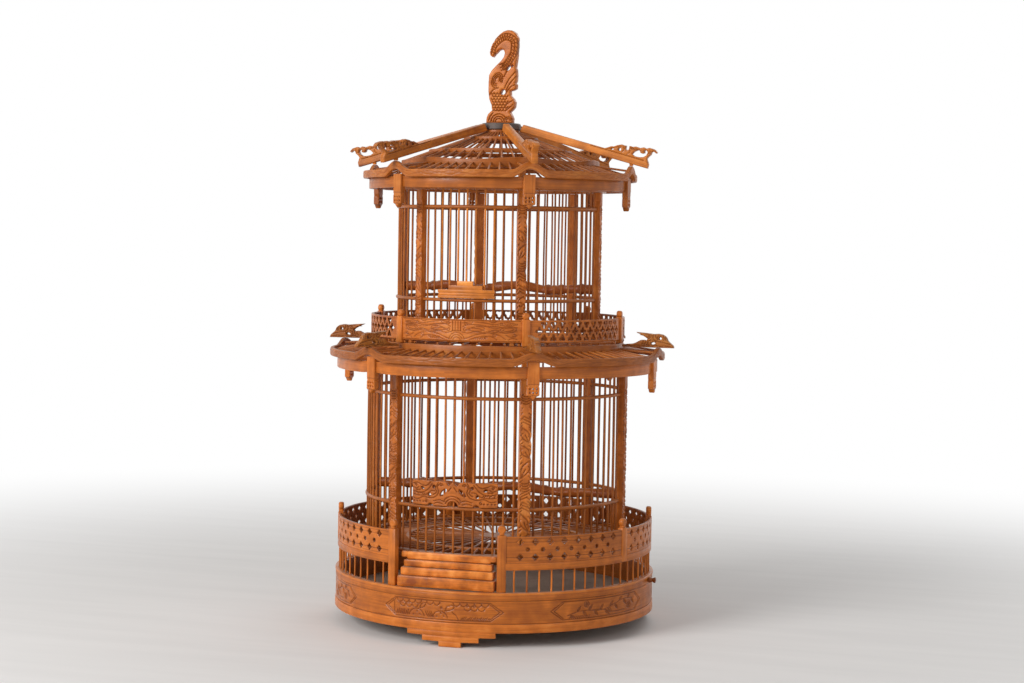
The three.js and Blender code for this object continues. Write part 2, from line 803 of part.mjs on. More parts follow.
// Wall plate, arms, king blocks, fascia and pendants in one frame.
function eaveFrame(frame) {
  const pieces = [
    hoop(frame.plateInner, frame.plateOuter, frame.plateBottom, frame.plateTop),
    hoop(frame.fasciaRadius - fasciaWall, frame.fasciaRadius, frame.fasciaBottom, frame.fasciaTop),
  ];
  corners().forEach((angle) => {
    const armEnd = frame.fasciaRadius - fasciaWall + bite;
    const armBottom = frame.plateTop - bite;
    const armTop = armBottom + armHeight;
    const armMiddle = (frame.kingRadius + armEnd) / 2;
    pieces.push(block(armWidth, armEnd - frame.kingRadius, armBottom, armTop, armMiddle, angle));
    pieces.push(block(kingWidth, kingDepth, frame.plateTop - bite, frame.kingTop, frame.kingRadius, angle));
    pieces.push(pendant(frame, angle));
  });
  return cut(join(pieces), guideHoles(frame.storey, frame.doorAngles, frame.plateBottom, frame.plateTop));
}

// A flat drop with a pointed end, let into the fascia.
function pendant(frame, angle) {
  const half = pendantWidth / 2;
  const top = frame.fasciaTop + frame.pendantAbove;
  const bottom = top - frame.pendantLength;
  const shape = new THREE.Shape([
    new THREE.Vector2(half, top),
    new THREE.Vector2(-half, top),
    new THREE.Vector2(-half, bottom + pendantPoint),
    new THREE.Vector2(0, bottom),
    new THREE.Vector2(half, bottom + pendantPoint),
  ]);
  const geometry = new THREE.ExtrudeGeometry(shape, { depth: pendantThickness, bevelEnabled: false });
  const back = fasciaWall - facetRadius(frame.fasciaRadius, angle);
  return geometry.rotateX(Math.PI / 2).translate(0, back, 0).rotateZ(angle);
}

const lowerFrame = {
  plateInner: lowerPlateInner,
  plateOuter: lowerPlateOuter,
  plateBottom: lowerPlateBottom,
  plateTop: lowerPlateTop,
  fasciaRadius: lowerFasciaRadius,
  fasciaBottom: lowerPlateTop - fasciaDrop,
  fasciaTop: lowerPlateTop - fasciaDrop + lowerFasciaHeight,
  kingRadius: collarRadius - collarWall / 2 + kingDepth / 4,
  kingTop: collarBottom - seatGap,
  pendantAbove: lowerPendantAbove,
  pendantLength: lowerPendantLength,
  storey: lowerStorey,
  doorAngles: lowerDoorAngles,
};
const upperFrame = {
  plateInner: upperPlateInner,
  plateOuter: upperPlateOuter,
  plateBottom: upperPlateBottom,
  plateTop: upperPlateTop,
  fasciaRadius: upperFasciaRadius,
  fasciaBottom: upperPlateTop - upperFasciaDrop,
  fasciaTop: upperPlateTop - upperFasciaDrop + upperFasciaHeight,
  kingRadius: roofBandRadius,
  kingTop: roofBandBottom - seatGap,
  pendantAbove: upperPendantAbove,
  pendantLength: upperPendantLength,
  storey: upperStorey,
  doorAngles: upperDoorAngles,
};

// Height that a corner of the eave adds at an angle.
function cornerRise(angle, rise) {
  const fromBay = angle - Math.round(angle / bayAngle) * bayAngle;
  const fromCorner = bayAngle / 2 - Math.abs(fromBay);
  return fromCorner < eaveCornerSpan ? rise * (1 + Math.cos(Math.PI * fromCorner / eaveCornerSpan)) / 2 : 0;
}

// The wavy strip along the edge of a roof, turned from its section and then moved to its own corner angles.
function eaveStrip(radius, bottom, rise) {
  const inner = radius - eaveWidth;
  const top = bottom + eaveHeight;
  const section = [[inner, bottom], [radius, bottom], [radius, top], [inner, top], [inner, bottom]];
  const facets = bayCount * eaveFacetShares.length;
  const profile = section.map(([out, height]) => new THREE.Vector2(out, height));
  const geometry = new THREE.LatheGeometry(profile, facets).rotateX(Math.PI / 2);
  const places = geometry.attributes.position;
  for (let index = 0; index < places.count; index += 1) {
    const even = Math.atan2(places.getX(index), -places.getY(index));
    const facet = (Math.round(even * facets / (2 * Math.PI)) + facets) % facets;
    const share = eaveFacetShares[facet % eaveFacetShares.length];
    const angle = bayTurn(Math.floor(facet / eaveFacetShares.length)) + share * bayAngle / 2;
    const place = at(Math.hypot(places.getX(index), places.getY(index)), angle, places.getZ(index));
    places.setXYZ(index, place.x, place.y, place.z + cornerRise(angle, rise));
  }
  return geometry;
}

// An eave strip and the rafters that come down to it from the middle of a band.
function skirtRoof(skirt) {
  const count = skirt.raftersPerBay * bayCount;
  const pieces = [eaveStrip(skirt.radius, skirt.bottom, skirt.rise)];
  evenAngles(count).forEach((corner) => {
    const angle = corner + Math.PI / count;
    const foot = skirt.bottom + eaveHeight / 2 + cornerRise(angle, skirt.rise);
    const head = at(facetRadius(skirt.bandMiddle, angle), angle, skirt.rafterTop);
    pieces.push(splint(head, at(skirt.radius - eaveWidth / 2, angle, foot), rafterWidth));
  });
  return pieces;
}

function addLowerRoof() {
  const skirt = {
    radius: lowerEaveRadius,
    bottom: collarBottom - lowerEaveDrop,
    rise: lowerEaveCornerRise,
    raftersPerBay: lowerRaftersPerBay,
    bandMiddle: collarRadius - collarWall / 2,
    rafterTop: collarBottom + collarHeight / 2,
  };
  const collar = hoop(collarRadius - collarWall, collarRadius, collarBottom, collarTop);
  addPiece('lower_roof', join([collar, ...skirtRoof(skirt)]), splintLacquer);
  const headBottom = skirt.bottom + eaveHeight + lowerEaveCornerRise + seatGap;
  const outline = headShares.map(([out, up]) => [headInner + out * headReach, headBottom + up * headHeight]);
  corners().forEach((angle, index) => {
    addPiece(`lower_ridge_head_${index + 1}`, radialBoard(outline, headThickness, 0), carvedLacquer, angle);
  });
}

function addBalcony() {
  const spokes = [];
  for (let bay = 0; bay < bayCount; bay += 1) {
    [1, -1].forEach((side) => {
      const angle = bayTurn(bay) + side * deckSpokeTurn;
      const start = deckOuter - deckSpokeWidth;
      const middle = (collarRadius + start) / 2;
      spokes.push(block(deckSpokeWidth, collarRadius - start, deckBottom, deckTop, middle, angle));
    });
  }
  addPiece('balcony_deck', join([hoop(deckInner, deckOuter, deckBottom, deckTop), ...spokes]), lacquer);

  const panelBottom = deckTop + seatGap;
  const panelTop = panelBottom + balconyPanelHeight;
  const postCircle = balconyRadius - balconyWall / 2;
  const postTop = deckBottom + balconyPostHeight;
  const postHalf = Math.asin((balconyPostWidth / 2 + seatGap) / (balconyRadius - balconyWall));
  const frontHalf = bayAngle / 2 - postHalf;
  const inner = balconyRadius - balconyWall;
  const frontPanel = bentStrip(inner, balconyRadius, panelBottom, panelTop, -frontHalf, frontHalf);
  addPiece('balcony_front_panel', frontPanel, carvedLacquer);
  const railStart = bayAngle / 2;
  const railEnd = 2 * Math.PI - bayAngle / 2;
  const pieces = [bentStrip(inner, balconyRadius, panelBottom, panelTop, railStart, railEnd)];
  corners().forEach((angle) => {
    pieces.push(block(balconyPostWidth, balconyPostDepth, deckBottom, postTop, postCircle, angle));
    pieces.push(knob(balconyKnobRadius, balconyKnobHeight, postTop - bite, postCircle, angle));
  });
  addPiece('balcony_railing', join(pieces), lacquer);
}

function addUpperRoof() {
  const bandMiddle = roofBandRadius - roofBandWall / 2;
  const coneBottom = roofBandBottom + coneFoot;
  const crownMiddle = crownRadius - crownWall / 2;
  const coneHeight = (radius) => coneBottom + coneRise * (bandMiddle - radius) / (bandMiddle - crownMiddle);
  const coneRafters = coneRaftersPerBay * bayCount;
  const coneAngles = evenAngles(coneRafters);
  const pieces = [
    hoop(roofBandRadius - roofBandWall, roofBandRadius, roofBandBottom, roofBandTop),
    hoopAt(coneAngles, crownRadius - crownWall, crownRadius, crownTop - crownHeight, crownTop),
  ];
  roofRingShares.forEach((share) => {
    const radius = bandMiddle - share * (bandMiddle - crownMiddle);
    const bottom = coneHeight(radius) - roofRingHeight / 2;
    const inner = radius - roofRingWidth / 2;
    pieces.push(hoopAt(coneAngles, inner, inner + roofRingWidth, bottom, bottom + roofRingHeight));
  });
  coneAngles.forEach((corner) => {
    const angle = corner + Math.PI / coneRafters;
    const foot = at(facetRadius(bandMiddle, angle), angle, coneBottom);
    pieces.push(splint(foot, at(crownRadius - bite, angle, coneHeight(crownRadius - bite)), rafterWidth));
  });
  const skirt = {
    radius: upperEaveRadius,
    bottom: roofBandBottom - upperEaveDrop,
    rise: upperEaveCornerRise,
    raftersPerBay: upperRaftersPerBay,
    bandMiddle,
    rafterTop: roofBandBottom + roofBandHeight / 2,
  };
  addPiece('upper_roof', join([...pieces, ...skirtRoof(skirt)]), splintLacquer);
  addBattens(skirt.bottom + eaveHeight + upperEaveCornerRise + seatGap);
}

// Straight battens from the hub over the corners of the eave, with a crest and an open jaw at the end.
function addBattens(pegBottom) {
  const startRadius = hubRadius + seatGap;
  const startHeight = hubTop - battenHeel;
  const pegRadial = upperEaveRadius - eaveWidth / 2;
  const pegTop = pegBottom + battenPegHeight;
  const battenSlope = Math.atan((startHeight - pegTop) / (pegRadial - startRadius));
  const battenHeight = battenHeel * Math.cos(battenSlope);
  const battenLength = (pegRadial - startRadius) / Math.cos(battenSlope) + battenOverhang;
  const along = (distance, up) => [
    startRadius + distance * Math.cos(battenSlope) + up * Math.sin(battenSlope),
    startHeight - distance * Math.sin(battenSlope) + up * Math.cos(battenSlope),
  ];
  const crestPoint = ([share, up]) => along(share * battenLength, battenHeight + up * battenCrest);
  const crest = battenCrestShares.map(crestPoint);
  const upright = [startRadius, hubTop];
  const outline = [along(0, 0), along(battenLength, 0), ...crest.reverse(), upright];
  const board = radialBoard(outline, battenWidth, 0);
  const peg = block(battenPegWidth, battenPegWidth, pegBottom, pegTop + battenPegWidth / 2, pegRadial, 0);
  const batten = join([board, peg]);
  corners().forEach((angle, index) => addPiece(`ridge_batten_${index + 1}`, batten, lacquer, angle));
}

function addHubAndHook() {
  const boreRadius = shankRadius + slideGap;
  addPiece('hub', hoopAt(evenAngles(hubSides), boreRadius, hubRadius, hubBottom, hubTop), blackHorn);
  const hookBottom = hubTop + seatGap;
  const outline = hookShares.map(([across, up]) => new THREE.Vector2(across * hookWidth, up * hookHeight));
  const shape = new THREE.Shape(outline);
  const flat = new THREE.ExtrudeGeometry(shape, { depth: hookThickness, bevelEnabled: false });
  const blade = flat.rotateX(Math.PI / 2).translate(0, hookThickness / 2, hookBottom);
  const nutTop = hubBottom - slideGap;
  const nutBottom = nutTop - nutHeight;
  const shank = splint(at(0, 0, nutBottom), at(0, 0, hookBottom + bite), 2 * shankRadius, shankSides);
  const nut = splint(at(0, 0, nutBottom), at(0, 0, nutTop), 2 * nutRadius, shankSides);
  addPiece('hook', join([blade, shank, nut]), carvedLacquer);
}

addDrum();
addFloorHoop();
addGallery();
addStair();
addCageFloor();
addStorey('lower', lowerStorey, lowerDoorAngles, lowerPillarDepth, lowerPillarCircle);
addLowerDoor();
const lowerPillarFace = lowerPillarCircle - lowerPillarDepth / 2;
addPerch('lower_perch', lowerPerchRadius, lowerPillarFace, lowerBottom + lowerPerchRise);
addPiece('lower_eave_frame', eaveFrame(lowerFrame), lacquer);
addLowerRoof();
addBalcony();
addStorey('upper', upperStorey, upperDoorAngles, upperPillarDepth, upperPillarCircle);
addUpperDoor();
const upperPillarFace = upperPillarCircle - upperPillarDepth / 2;
addPerch('upper_perch', upperPerchRadius, upperPillarFace, upperBottom + upperPerchRise);
addPiece('upper_eave_frame', eaveFrame(upperFrame), lacquer);
addUpperRoof();
addHubAndHook();

export default cage;
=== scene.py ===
"""Two-storey bamboo bird cage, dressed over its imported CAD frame.

Every piece is a surface worked out in millimetres as whole numpy arrays, and put in its mesh in metres.
Angles count from the front of the cage towards its right, so a place is (r sin a, -r cos a, z).
"""
import math
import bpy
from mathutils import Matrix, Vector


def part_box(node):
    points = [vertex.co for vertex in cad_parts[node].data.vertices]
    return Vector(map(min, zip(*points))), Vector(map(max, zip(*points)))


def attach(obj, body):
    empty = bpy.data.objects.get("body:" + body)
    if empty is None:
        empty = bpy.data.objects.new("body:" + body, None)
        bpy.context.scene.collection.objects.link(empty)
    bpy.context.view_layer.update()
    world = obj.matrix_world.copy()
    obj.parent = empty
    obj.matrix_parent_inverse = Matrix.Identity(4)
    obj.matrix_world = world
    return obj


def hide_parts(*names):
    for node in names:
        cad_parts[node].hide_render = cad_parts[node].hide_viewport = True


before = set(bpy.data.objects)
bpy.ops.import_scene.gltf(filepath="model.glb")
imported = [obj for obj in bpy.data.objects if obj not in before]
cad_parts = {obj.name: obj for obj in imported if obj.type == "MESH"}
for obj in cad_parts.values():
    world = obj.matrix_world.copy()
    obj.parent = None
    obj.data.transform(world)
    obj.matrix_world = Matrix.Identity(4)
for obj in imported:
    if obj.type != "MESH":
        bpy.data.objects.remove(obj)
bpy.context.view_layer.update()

from types import SimpleNamespace

import bpy
import numpy as np
from bpy.props import FloatProperty, FloatVectorProperty, IntProperty, PointerProperty
from mathutils import Matrix, Vector

bl_info = {
    "name": "Two-storey bird cage",
    "version": (1, 0, 0),
    "blender": (4, 5, 0),
    "location": "3D View > Sidebar > Bird cage",
    "description": "Builds the carved bamboo pieces of a two-storey bird cage over its CAD frame",
    "category": "Object",
}

MM = 0.001
TAU = 2 * math.pi
BAYS = 6
BAY = TAU / BAYS
CORNERS = [(corner + 0.5) * BAY for corner in range(BAYS)]
UP = np.array([0.0, 0.0, 1.0])
SEAT = 0.3  # gap between pieces that seat on each other
WELD = 5000  # cells to a millimetre in which points meet
BATCH = 5000  # points measured at a time
SMOOTH_UNDER = math.radians(38)
chance = np.random.default_rng(11)


def span(node):
    """Lowest and highest corner of a CAD node, in millimetres."""
    low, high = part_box(node)
    return np.array(low) / MM, np.array(high) / MM


def radius_of(node):
    """Radius of a round CAD node, which has a corner of its outline right in front."""
    return -span(node)[0][1]


def heights(node):
    """Bottom and top of a CAD node, in millimetres."""
    low, high = span(node)
    return low[2], high[2]


# Surfaces

def at(radius, angle, height):
    """The place (r sin a, -r cos a, z), for numbers or arrays that broadcast together."""
    radius, angle, height = np.broadcast_arrays(radius, angle, height)
    return np.stack([radius * np.sin(angle), -radius * np.cos(angle), height], -1).astype(float)


def around(centre, reach, turn):
    """The flat places at a reach and a turn about a centre."""
    return np.stack([centre[0] + reach * np.cos(turn), centre[1] + reach * np.sin(turn)], 1)


def circle(radius, sides):
    """Corners of a round section about the middle."""
    return around((0, 0), radius, np.arange(sides) * TAU / sides)


def grid_quads(rows, columns):
    """Corner numbers of the quads of a rows x columns grid of points, row after row."""
    corner = np.arange((rows - 1) * columns).reshape(rows - 1, columns)[:, :-1].ravel()
    return np.stack([corner, corner + 1, corner + columns + 1, corner + columns], 1)


def merged(points):
    """The first of the points that share a cell of 1 / WELD millimetres, and every point's new number."""
    cells = np.round(points * WELD).astype(np.int64)
    first, number = np.unique(cells, axis=0, return_index=True, return_inverse=True)[1:]
    return first, number.reshape(-1)


def skin(points, quads, grain, groove):
    """One closed skin. Points that meet are made one, quads that shrink to a line go, and the sign of
    the volume, the sum of p0 . (p1 x p2 + p2 x p3) over the quads, turns the faces outwards."""
    near, after, far, before = np.moveaxis(points[quads] - points.mean(0), 1, 0)
    if (near * (np.cross(after, far) + np.cross(far, before))).sum() < 0:
        quads = quads[:, ::-1]
    first, number = merged(points)
    corners = number[quads]
    keep = corners != np.roll(corners, -1, axis=1)
    folded = (corners[:, 0] == corners[:, 2]) | (corners[:, 1] == corners[:, 3])
    keep[(keep.sum(1) < 3) | folded] = False
    counts = keep.sum(1)
    return {
        "points": points[first],
        "corners": corners[keep],
        "counts": counts[counts > 0],
        "grain": (grain[quads][keep] + chance.random(2) * 300) * MM,
        "groove": groove[first],
        "tone": chance.random(),
    }


def loft(sections, ring=False, groove=None):
    """A skin through closed sections, given as stations x section points x 3. The ends close on the
    middle of their section, or the last station joins the first. Grain runs from station to station."""
    rows = np.concatenate([sections, sections[:, :1]], axis=1)
    groove = np.zeros(sections.shape[:2]) if groove is None else groove
    groove = np.concatenate([groove, groove[:, :1]], axis=1)
    if ring:
        rows = np.concatenate([rows, rows[:1]])
        groove = np.concatenate([groove, groove[:1]])
    else:
        ends = [np.broadcast_to(rows[end, :-1].mean(0), rows[:1].shape) for end in (0, -1)]
        rows = np.concatenate([ends[0], rows, ends[1]])
        groove = np.concatenate([groove[:1], groove, groove[-1:]])
    steps = (np.linalg.norm(np.diff(rows, axis=way), axis=2).mean(1 - way) for way in (0, 1))
    run, girth = (np.concatenate([[0], step.cumsum()]) for step in steps)
    grain = np.stack(np.meshgrid(run, girth, indexing="ij"), -1).reshape(-1, 2)
    return skin(rows.reshape(-1, 3), grid_quads(*rows.shape[:2]), grain, groove.reshape(-1))


def rounded(width, height, edge, steps=2):
    """Outline of a bar's section: a rectangle about the middle whose corners are quarter circles."""
    turn = np.linspace(0, math.pi / 2, steps + 1)
    across, up = width / 2 - edge, height / 2 - edge
    centres = ((across, up), (-across, up), (-across, -up), (across, -up))
    return np.concatenate([around(centre, edge, turn + quarter * math.pi / 2)
                           for quarter, centre in enumerate(centres)])


def sweep(path, section, up=UP, scale=None):
    """A section carried along a path. Each station is path + side * across + top * rise, where side is
    the direction of travel x up, and top is side x the direction of travel."""
    path = np.asarray(path, float)
    ahead = np.gradient(path, axis=0)
    ahead = ahead / np.linalg.norm(ahead, axis=1, keepdims=True)
    side = np.cross(ahead, np.array(up, float))
    side = side / np.linalg.norm(side, axis=1, keepdims=True)
    top = np.cross(side, ahead)
    size = np.ones(len(path)) if scale is None else np.asarray(scale)
    across, rise = (section[None, :, axis, None] * size[:, None, None] for axis in (0, 1))
    return loft(path[:, None] + side[:, None] * across + top[:, None] * rise)


def rod(start, end, thickness, sides, bend):
    """A round splint between two places, which bows a little sideways as bend * sin(pi * share)."""
    start, end = np.array(start, float), np.array(end, float)
    upright = abs(end[2] - start[2]) > 0.9 * np.linalg.norm(end - start)
    share = np.linspace(0, 1, 5 if bend else 2)[:, None]
    path = start + (end - start) * share
    if bend:
        turn = chance.random() * TAU
        path = path + bend * np.sin(math.pi * share) * np.array([math.cos(turn), math.sin(turn), 0])
    return sweep(path, circle(thickness / 2, sides), (0, 1, 0) if upright else UP)


def beam(start, end, width, height, edge, up=UP):
    """A squared bar between two places, whose long edges are rounded and whose ends are eased."""
    start, end = np.array(start, float), np.array(end, float)
    length = np.linalg.norm(end - start)
    share = np.array([0, edge / length, 1 - edge / length, 1])[:, None]
    ease = 1 - 1.4 * edge / max(width, height)
    return sweep(start + (end - start) * share, rounded(width, height, edge), up, [ease, 1, 1, ease])


def post(radius, angle, low, high, width, depth, edge):
    """An upright squared bar at an angle, with its width across and its depth outwards."""
    return beam(at(radius, angle, low), at(radius, angle, high), width, depth, edge, at(1, angle, 0))


def spoke(angle, start, end, thickness, bend=0.0, sides=8):
    """A round splint in the plane through the axis at an angle, between two places (radius, height)."""
    return rod(*(at(radius, angle, height) for radius, height in (start, end)), thickness, sides, bend)


def spread_round(count):
    """Angles spread evenly round the axis, from half a step on."""
    return (np.arange(count) + 0.5) * TAU / count


def band(inner, outer, bottom, top, edge):
    """Section of a hoop: a rectangle of radius and height with rounded corners."""
    return rounded(outer - inner, top - bottom, edge) + [(inner + outer) / 2, (bottom + top) / 2]


def bent(section, start=0.0, end=TAU, pitch=2.0):
    """A section of radius and height carried round the axis, as a whole hoop or between two angles."""
    ring = end - start > TAU - 1e-6
    count = max(int(math.degrees(end - start) / pitch), 3)
    angles = np.linspace(start, end, count, endpoint=not ring)[:, None]
    return loft(at(section[None, :, 0], angles, section[None, :, 1]), ring)


def turned(profile, sides):
    """A profile of radius and height spun about the cage's axis."""
    profile = np.asarray(profile, float)[:, :, None]
    turn = np.arange(sides) * TAU / sides
    level = np.repeat(profile[:, 1], sides, 1)
    return loft(np.stack([profile[:, 0] * np.cos(turn), profile[:, 0] * np.sin(turn), level], -1))


def smooth_line(points, count):
    """A curve through points: a Catmull-Rom blend of the four nearest for each share of a span."""
    points = np.asarray(points, float)
    padded = np.concatenate([2 * points[:1] - points[1:2], points, 2 * points[-1:] - points[-2:-1]])
    share = np.linspace(0, len(points) - 1 - 1e-9, count)
    number = share.astype(int)
    part = (share - number)[:, None]
    before, here, after, beyond = (padded[number + step] for step in range(4))
    bow = 2 * before - 5 * here + 4 * after - beyond
    return 0.5 * (2 * here + (after - before) * part + bow * part ** 2
                  + (3 * here - before - 3 * after + beyond) * part ** 3)


def wrapped(radius, angle, height):
    """Lays (s, t, depth) round the axis: the angle grows by s / radius, the height by t."""
    return lambda s, t, depth: at(radius + depth, angle + s / radius, height + t)


def laid(origin, along, rise, out):
    """Lays (s, t, depth) on a flat board, at origin + along * s + rise * t + out * depth."""
    def place(s, t, depth):
        s, t, depth = (part[..., None] for part in np.broadcast_arrays(s, t, depth))
        return origin + along * s + rise * t + out * depth
    return place


def facing(radius, angle, height):
    """Lays (s, t, depth) on the flat board that faces outwards at an angle."""
    return laid(at(radius, angle, height), at(1, angle + math.pi / 2, 0), UP, at(1, angle, 0))


def edgewise(radius, angle, height, slope=0.0):
    """Lays (s, t, depth) on the board that stands in the plane through the axis. It runs outwards and
    falls by slope, t is square to it, and depth goes sideways."""
    out = at(1, angle, 0)
    along, rise = out * math.cos(slope) - UP * math.sin(slope), out * math.sin(slope) + UP * math.cos(slope)
    return laid(at(radius, angle, height), along, rise, at(1, angle + math.pi / 2, 0))


def nearest_on(points, starts, ends):
    """Distance to the nearest of many segments and that nearest place: start + share * (end - start),
    with the share held between 0 and 1."""
    along = ends - starts
    square = (along ** 2).sum(1) + 1e-12
    gap, place = np.empty(len(points)), np.empty((len(points), 2))
    for first in range(0, len(points), BATCH):
        part = points[first:first + BATCH, None]
        share = np.clip(((part - starts) * along).sum(-1) / square, 0, 1)
        spot = starts + share[..., None] * along
        length = np.hypot(*np.moveaxis(part - spot, -1, 0))
        best = length.argmin(1)
        rows = np.arange(len(best))
        gap[first:first + BATCH], place[first:first + BATCH] = length[rows, best], spot[rows, best]
    return gap, place


def within(points, starts, ends):
    """True where a line to the right of the point crosses the outlines an odd number of times."""
    result = np.empty(len(points), bool)
    rise = np.where(ends[:, 1] == starts[:, 1], 1e-12, ends[:, 1] - starts[:, 1])
    for first in range(0, len(points), BATCH):
        part = points[first:first + BATCH, None]
        above = (starts[:, 1] > part[..., 1]) != (ends[:, 1] > part[..., 1])
        crossing = starts[:, 0] + (part[..., 1] - starts[:, 1]) * (ends[:, 0] - starts[:, 0]) / rise
        result[first:first + BATCH] = (above & (part[..., 0] < crossing)).sum(1) % 2 == 1
    return result


def carve(s, t, strokes, width):
    """How deep the knife went, from 0 to 1: exp(-(gap / width)^2) of the nearest stroke."""
    points = np.stack([s.ravel(), t.ravel()], 1)
    result = np.zeros(len(points))
    for stroke in strokes:
        stroke = np.asarray(stroke, float)
        low, high = stroke.min(0) - 2.5 * width, stroke.max(0) + 2.5 * width
        close = np.nonzero(((points > low) & (points < high)).all(1))[0]
        if len(close):
            gap = nearest_on(points[close], stroke[:-1], stroke[1:])[0]
            result[close] = np.maximum(result[close], np.exp(-(gap / width) ** 2))
    return result.reshape(s.shape)


def sawn(rings, spacing):
    """The face of a board, inside its outline and outside its holes. It is an even grid, whose points
    within half a step of a saw line are moved onto it, so that each cell lies wholly inside or outside.
    Gives the points, their distances to the saw line, the quads, and the sides along the rim."""
    starts = np.concatenate(rings)
    ends = np.concatenate([np.roll(line, -1, 0) for line in rings])
    low, high = rings[0].min(0), rings[0].max(0)
    counts = np.maximum(np.ceil((high - low) / spacing).astype(int), 2) + 1
    lines = [np.linspace(*ends_of_axis) for ends_of_axis in zip(low, high, counts)]
    points = np.stack(np.meshgrid(*lines, indexing="ij"), -1).reshape(-1, 2)
    gap, spot = nearest_on(points, starts, ends)
    step = ((high - low) / (counts - 1)).max()
    snapped = gap <= step / 2 * 1.0001
    inside = within(points, starts, ends) & ~snapped
    points[snapped], gap[snapped] = spot[snapped], 0
    quads = grid_quads(*counts)
    shut = (snapped | inside)[quads]
    kept = shut.sum(1) >= 3
    quads, shut = quads[kept], shut[kept]
    outside = shut.argmin(1)
    rows = np.nonzero(~shut.all(1))[0]
    quads[rows, outside[rows]] = quads[rows, (outside[rows] + 1) % 4]
    quads = quads[within(points[quads].mean(1), starts, ends)]

    used, quads = np.unique(quads, return_inverse=True)
    first, number = merged(points[used])
    points, gap, quads = points[used][first], gap[used][first], number[quads.reshape(-1, 4)]
    sides = np.stack([quads, np.roll(quads, -1, 1)], -1).reshape(-1, 2)
    sides = sides[sides[:, 0] != sides[:, 1]]
    ahead, back = sides @ [len(points), 1], sides @ [1, len(points)]
    return points, gap, quads, sides[~np.isin(ahead, back)]


def board(outline, place, thickness, spacing, holes, edge, strokes=(), cut=0.5, depth=0.5,
          grain_up=False, painted_shade=0.0, both=False):
    """A sawn board. Its edge is eased by e - sqrt(e^2 - (e - gap)^2), the strokes are cut into the
    front, or into both faces, and walls close the rim. Painted shade darkens the back and the saw line."""
    points, gap, quads, rim = sawn([np.asarray(line, float) for line in (outline, *holes)], spacing)
    total = len(points)
    ease = edge - np.sqrt(np.maximum(edge ** 2 - np.clip(edge - gap, 0, edge) ** 2, 0))
    groove = carve(*points.T, strokes, cut)
    front = place(*points.T, thickness / 2 - ease - depth * groove)
    back = place(*points.T, ease - thickness / 2 + both * depth * groove)
    walls = np.concatenate([rim[:, ::-1], rim + total], 1)
    faces = np.concatenate([quads, quads[:, ::-1] + total, walls])
    grain = points[:, ::-1] if grain_up else points
    # Painted shade: the saw line and the whole back are darkened as if they lay in shade.
    shade = np.concatenate([np.maximum(groove, painted_shade * (gap < 0.1)), np.maximum(both * groove, painted_shade)])
    return skin(np.concatenate([front, back]), faces, np.concatenate([grain, grain]), shade)


def edged(rise, sunk, back):
    """Heights of a face with a sunk edge on both sides, and with the two corners of the back."""
    face = np.pad(rise, ((0, 0), (1, 1)), constant_values=-sunk)
    return np.pad(face, ((0, 0), (0, 2)), constant_values=-back)


def relief(s, t, rise, groove, thickness, place, sunk=0.5):
    """A carved hoop. Each station along s has the points (t, rise) on its face, eased edges that lie
    sunk, and a plain back at -thickness."""
    ease = 0.5
    low, high = t[0], t[-1]
    across = np.concatenate([[low], np.clip(t, low + ease, high - ease), [high, high, low]])
    depth = edged(rise, sunk, thickness)
    return loft(place(s[:, None], across[None], depth), True, np.pad(groove, ((0, 0), (1, 3))))


# Strokes of the carver's knife, each a row of (s, t), and outlines of holes

def arc(centre, radius, start, end, count=9):
    """Part of a circle about a centre, between two angles in degrees."""
    return around(centre, radius, np.radians(np.linspace(start, end, count)))


def curl(centre, radius, start, turns, side=1, count=22):
    """A spiral: the radius shrinks evenly to a fifth while the angle turns."""
    share = np.linspace(0, 1, count)
    return around(centre, radius * (1 - 0.8 * share), math.radians(start) + side * turns * TAU * share)


def ripple(start, end, swing, waves, count=28):
    """A line that swings to both sides as swing * sin(2 pi waves share)."""
    start, end = np.array(start, float), np.array(end, float)
    share = np.linspace(0, 1, count)[:, None]
    ahead = (end - start) / np.linalg.norm(end - start)
    aside = np.array([-ahead[1], ahead[0]])
    return start + (end - start) * share + aside * swing * np.sin(TAU * waves * share)


def ring(centre, radius, count):
    """A whole circle about a centre."""
    return arc(centre, radius, 0, 360, count)


def curves(count, *lines, size=(1, 1), shift=(0, 0)):
    """A smooth line of so many points through each row of places, times a size and moved by a shift."""
    return [smooth_line(np.array(line) * size + shift, count) for line in lines]


def ticks(spots, low, ahead, high, swing=0.0):
    """Short cuts side by side, whose upper ends lie ahead and swing with the sine of their place."""
    return [[(s, low), (s + ahead, high + swing * math.sin(s))] for s in spots]


def flipped(strokes):
    """The same strokes mirrored in the middle line."""
    return [np.asarray(stroke) * [-1, 1] for stroke in strokes]


def star_hole(centre, radius):
    """Outline of a four-pointed hole: r = radius * (|cos|^p + |sin|^p)^(-1/p), with p = 0.9."""
    power, count = 0.9, 20
    turn = np.arange(count) * TAU / count
    reach = radius * (np.abs(np.cos(turn)) ** power + np.abs(np.sin(turn)) ** power) ** (-1 / power)
    return around(centre, reach, turn)


def clover_hole(centre, radius, leaves, start, count, dent):
    """Outline of a leafed hole: r = radius * (1 + dent * cos(leaves * a)) / (1 + dent)."""
    turn = np.arange(count) * TAU / count
    reach = radius * (1 + dent * np.cos(leaves * turn)) / (1 + dent)
    return around(centre, reach, turn + math.radians(start))


def round_hole(centre, width, height=None, turn=0.0, count=16):
    """Outline of a round or oval hole, turned by an angle in degrees."""
    across, up = (circle(0.5, count) * [width, height or width]).T
    lean = math.radians(turn)
    return np.stack([centre[0] + across * math.cos(lean) - up * math.sin(lean),
                     centre[1] + across * math.sin(lean) + up * math.cos(lean)], 1)


# Finishes

def colour_setting(name, text, default):
    """A colour that the panel shows."""
    return FloatVectorProperty(name=name, description=text, subtype="COLOR", default=default, min=0, max=1)


def length_setting(name, text, default, low, high):
    """A length in metres that the panel shows."""
    return FloatProperty(name=name, description=text, default=default, min=low, max=high, unit="LENGTH",
                         precision=4)


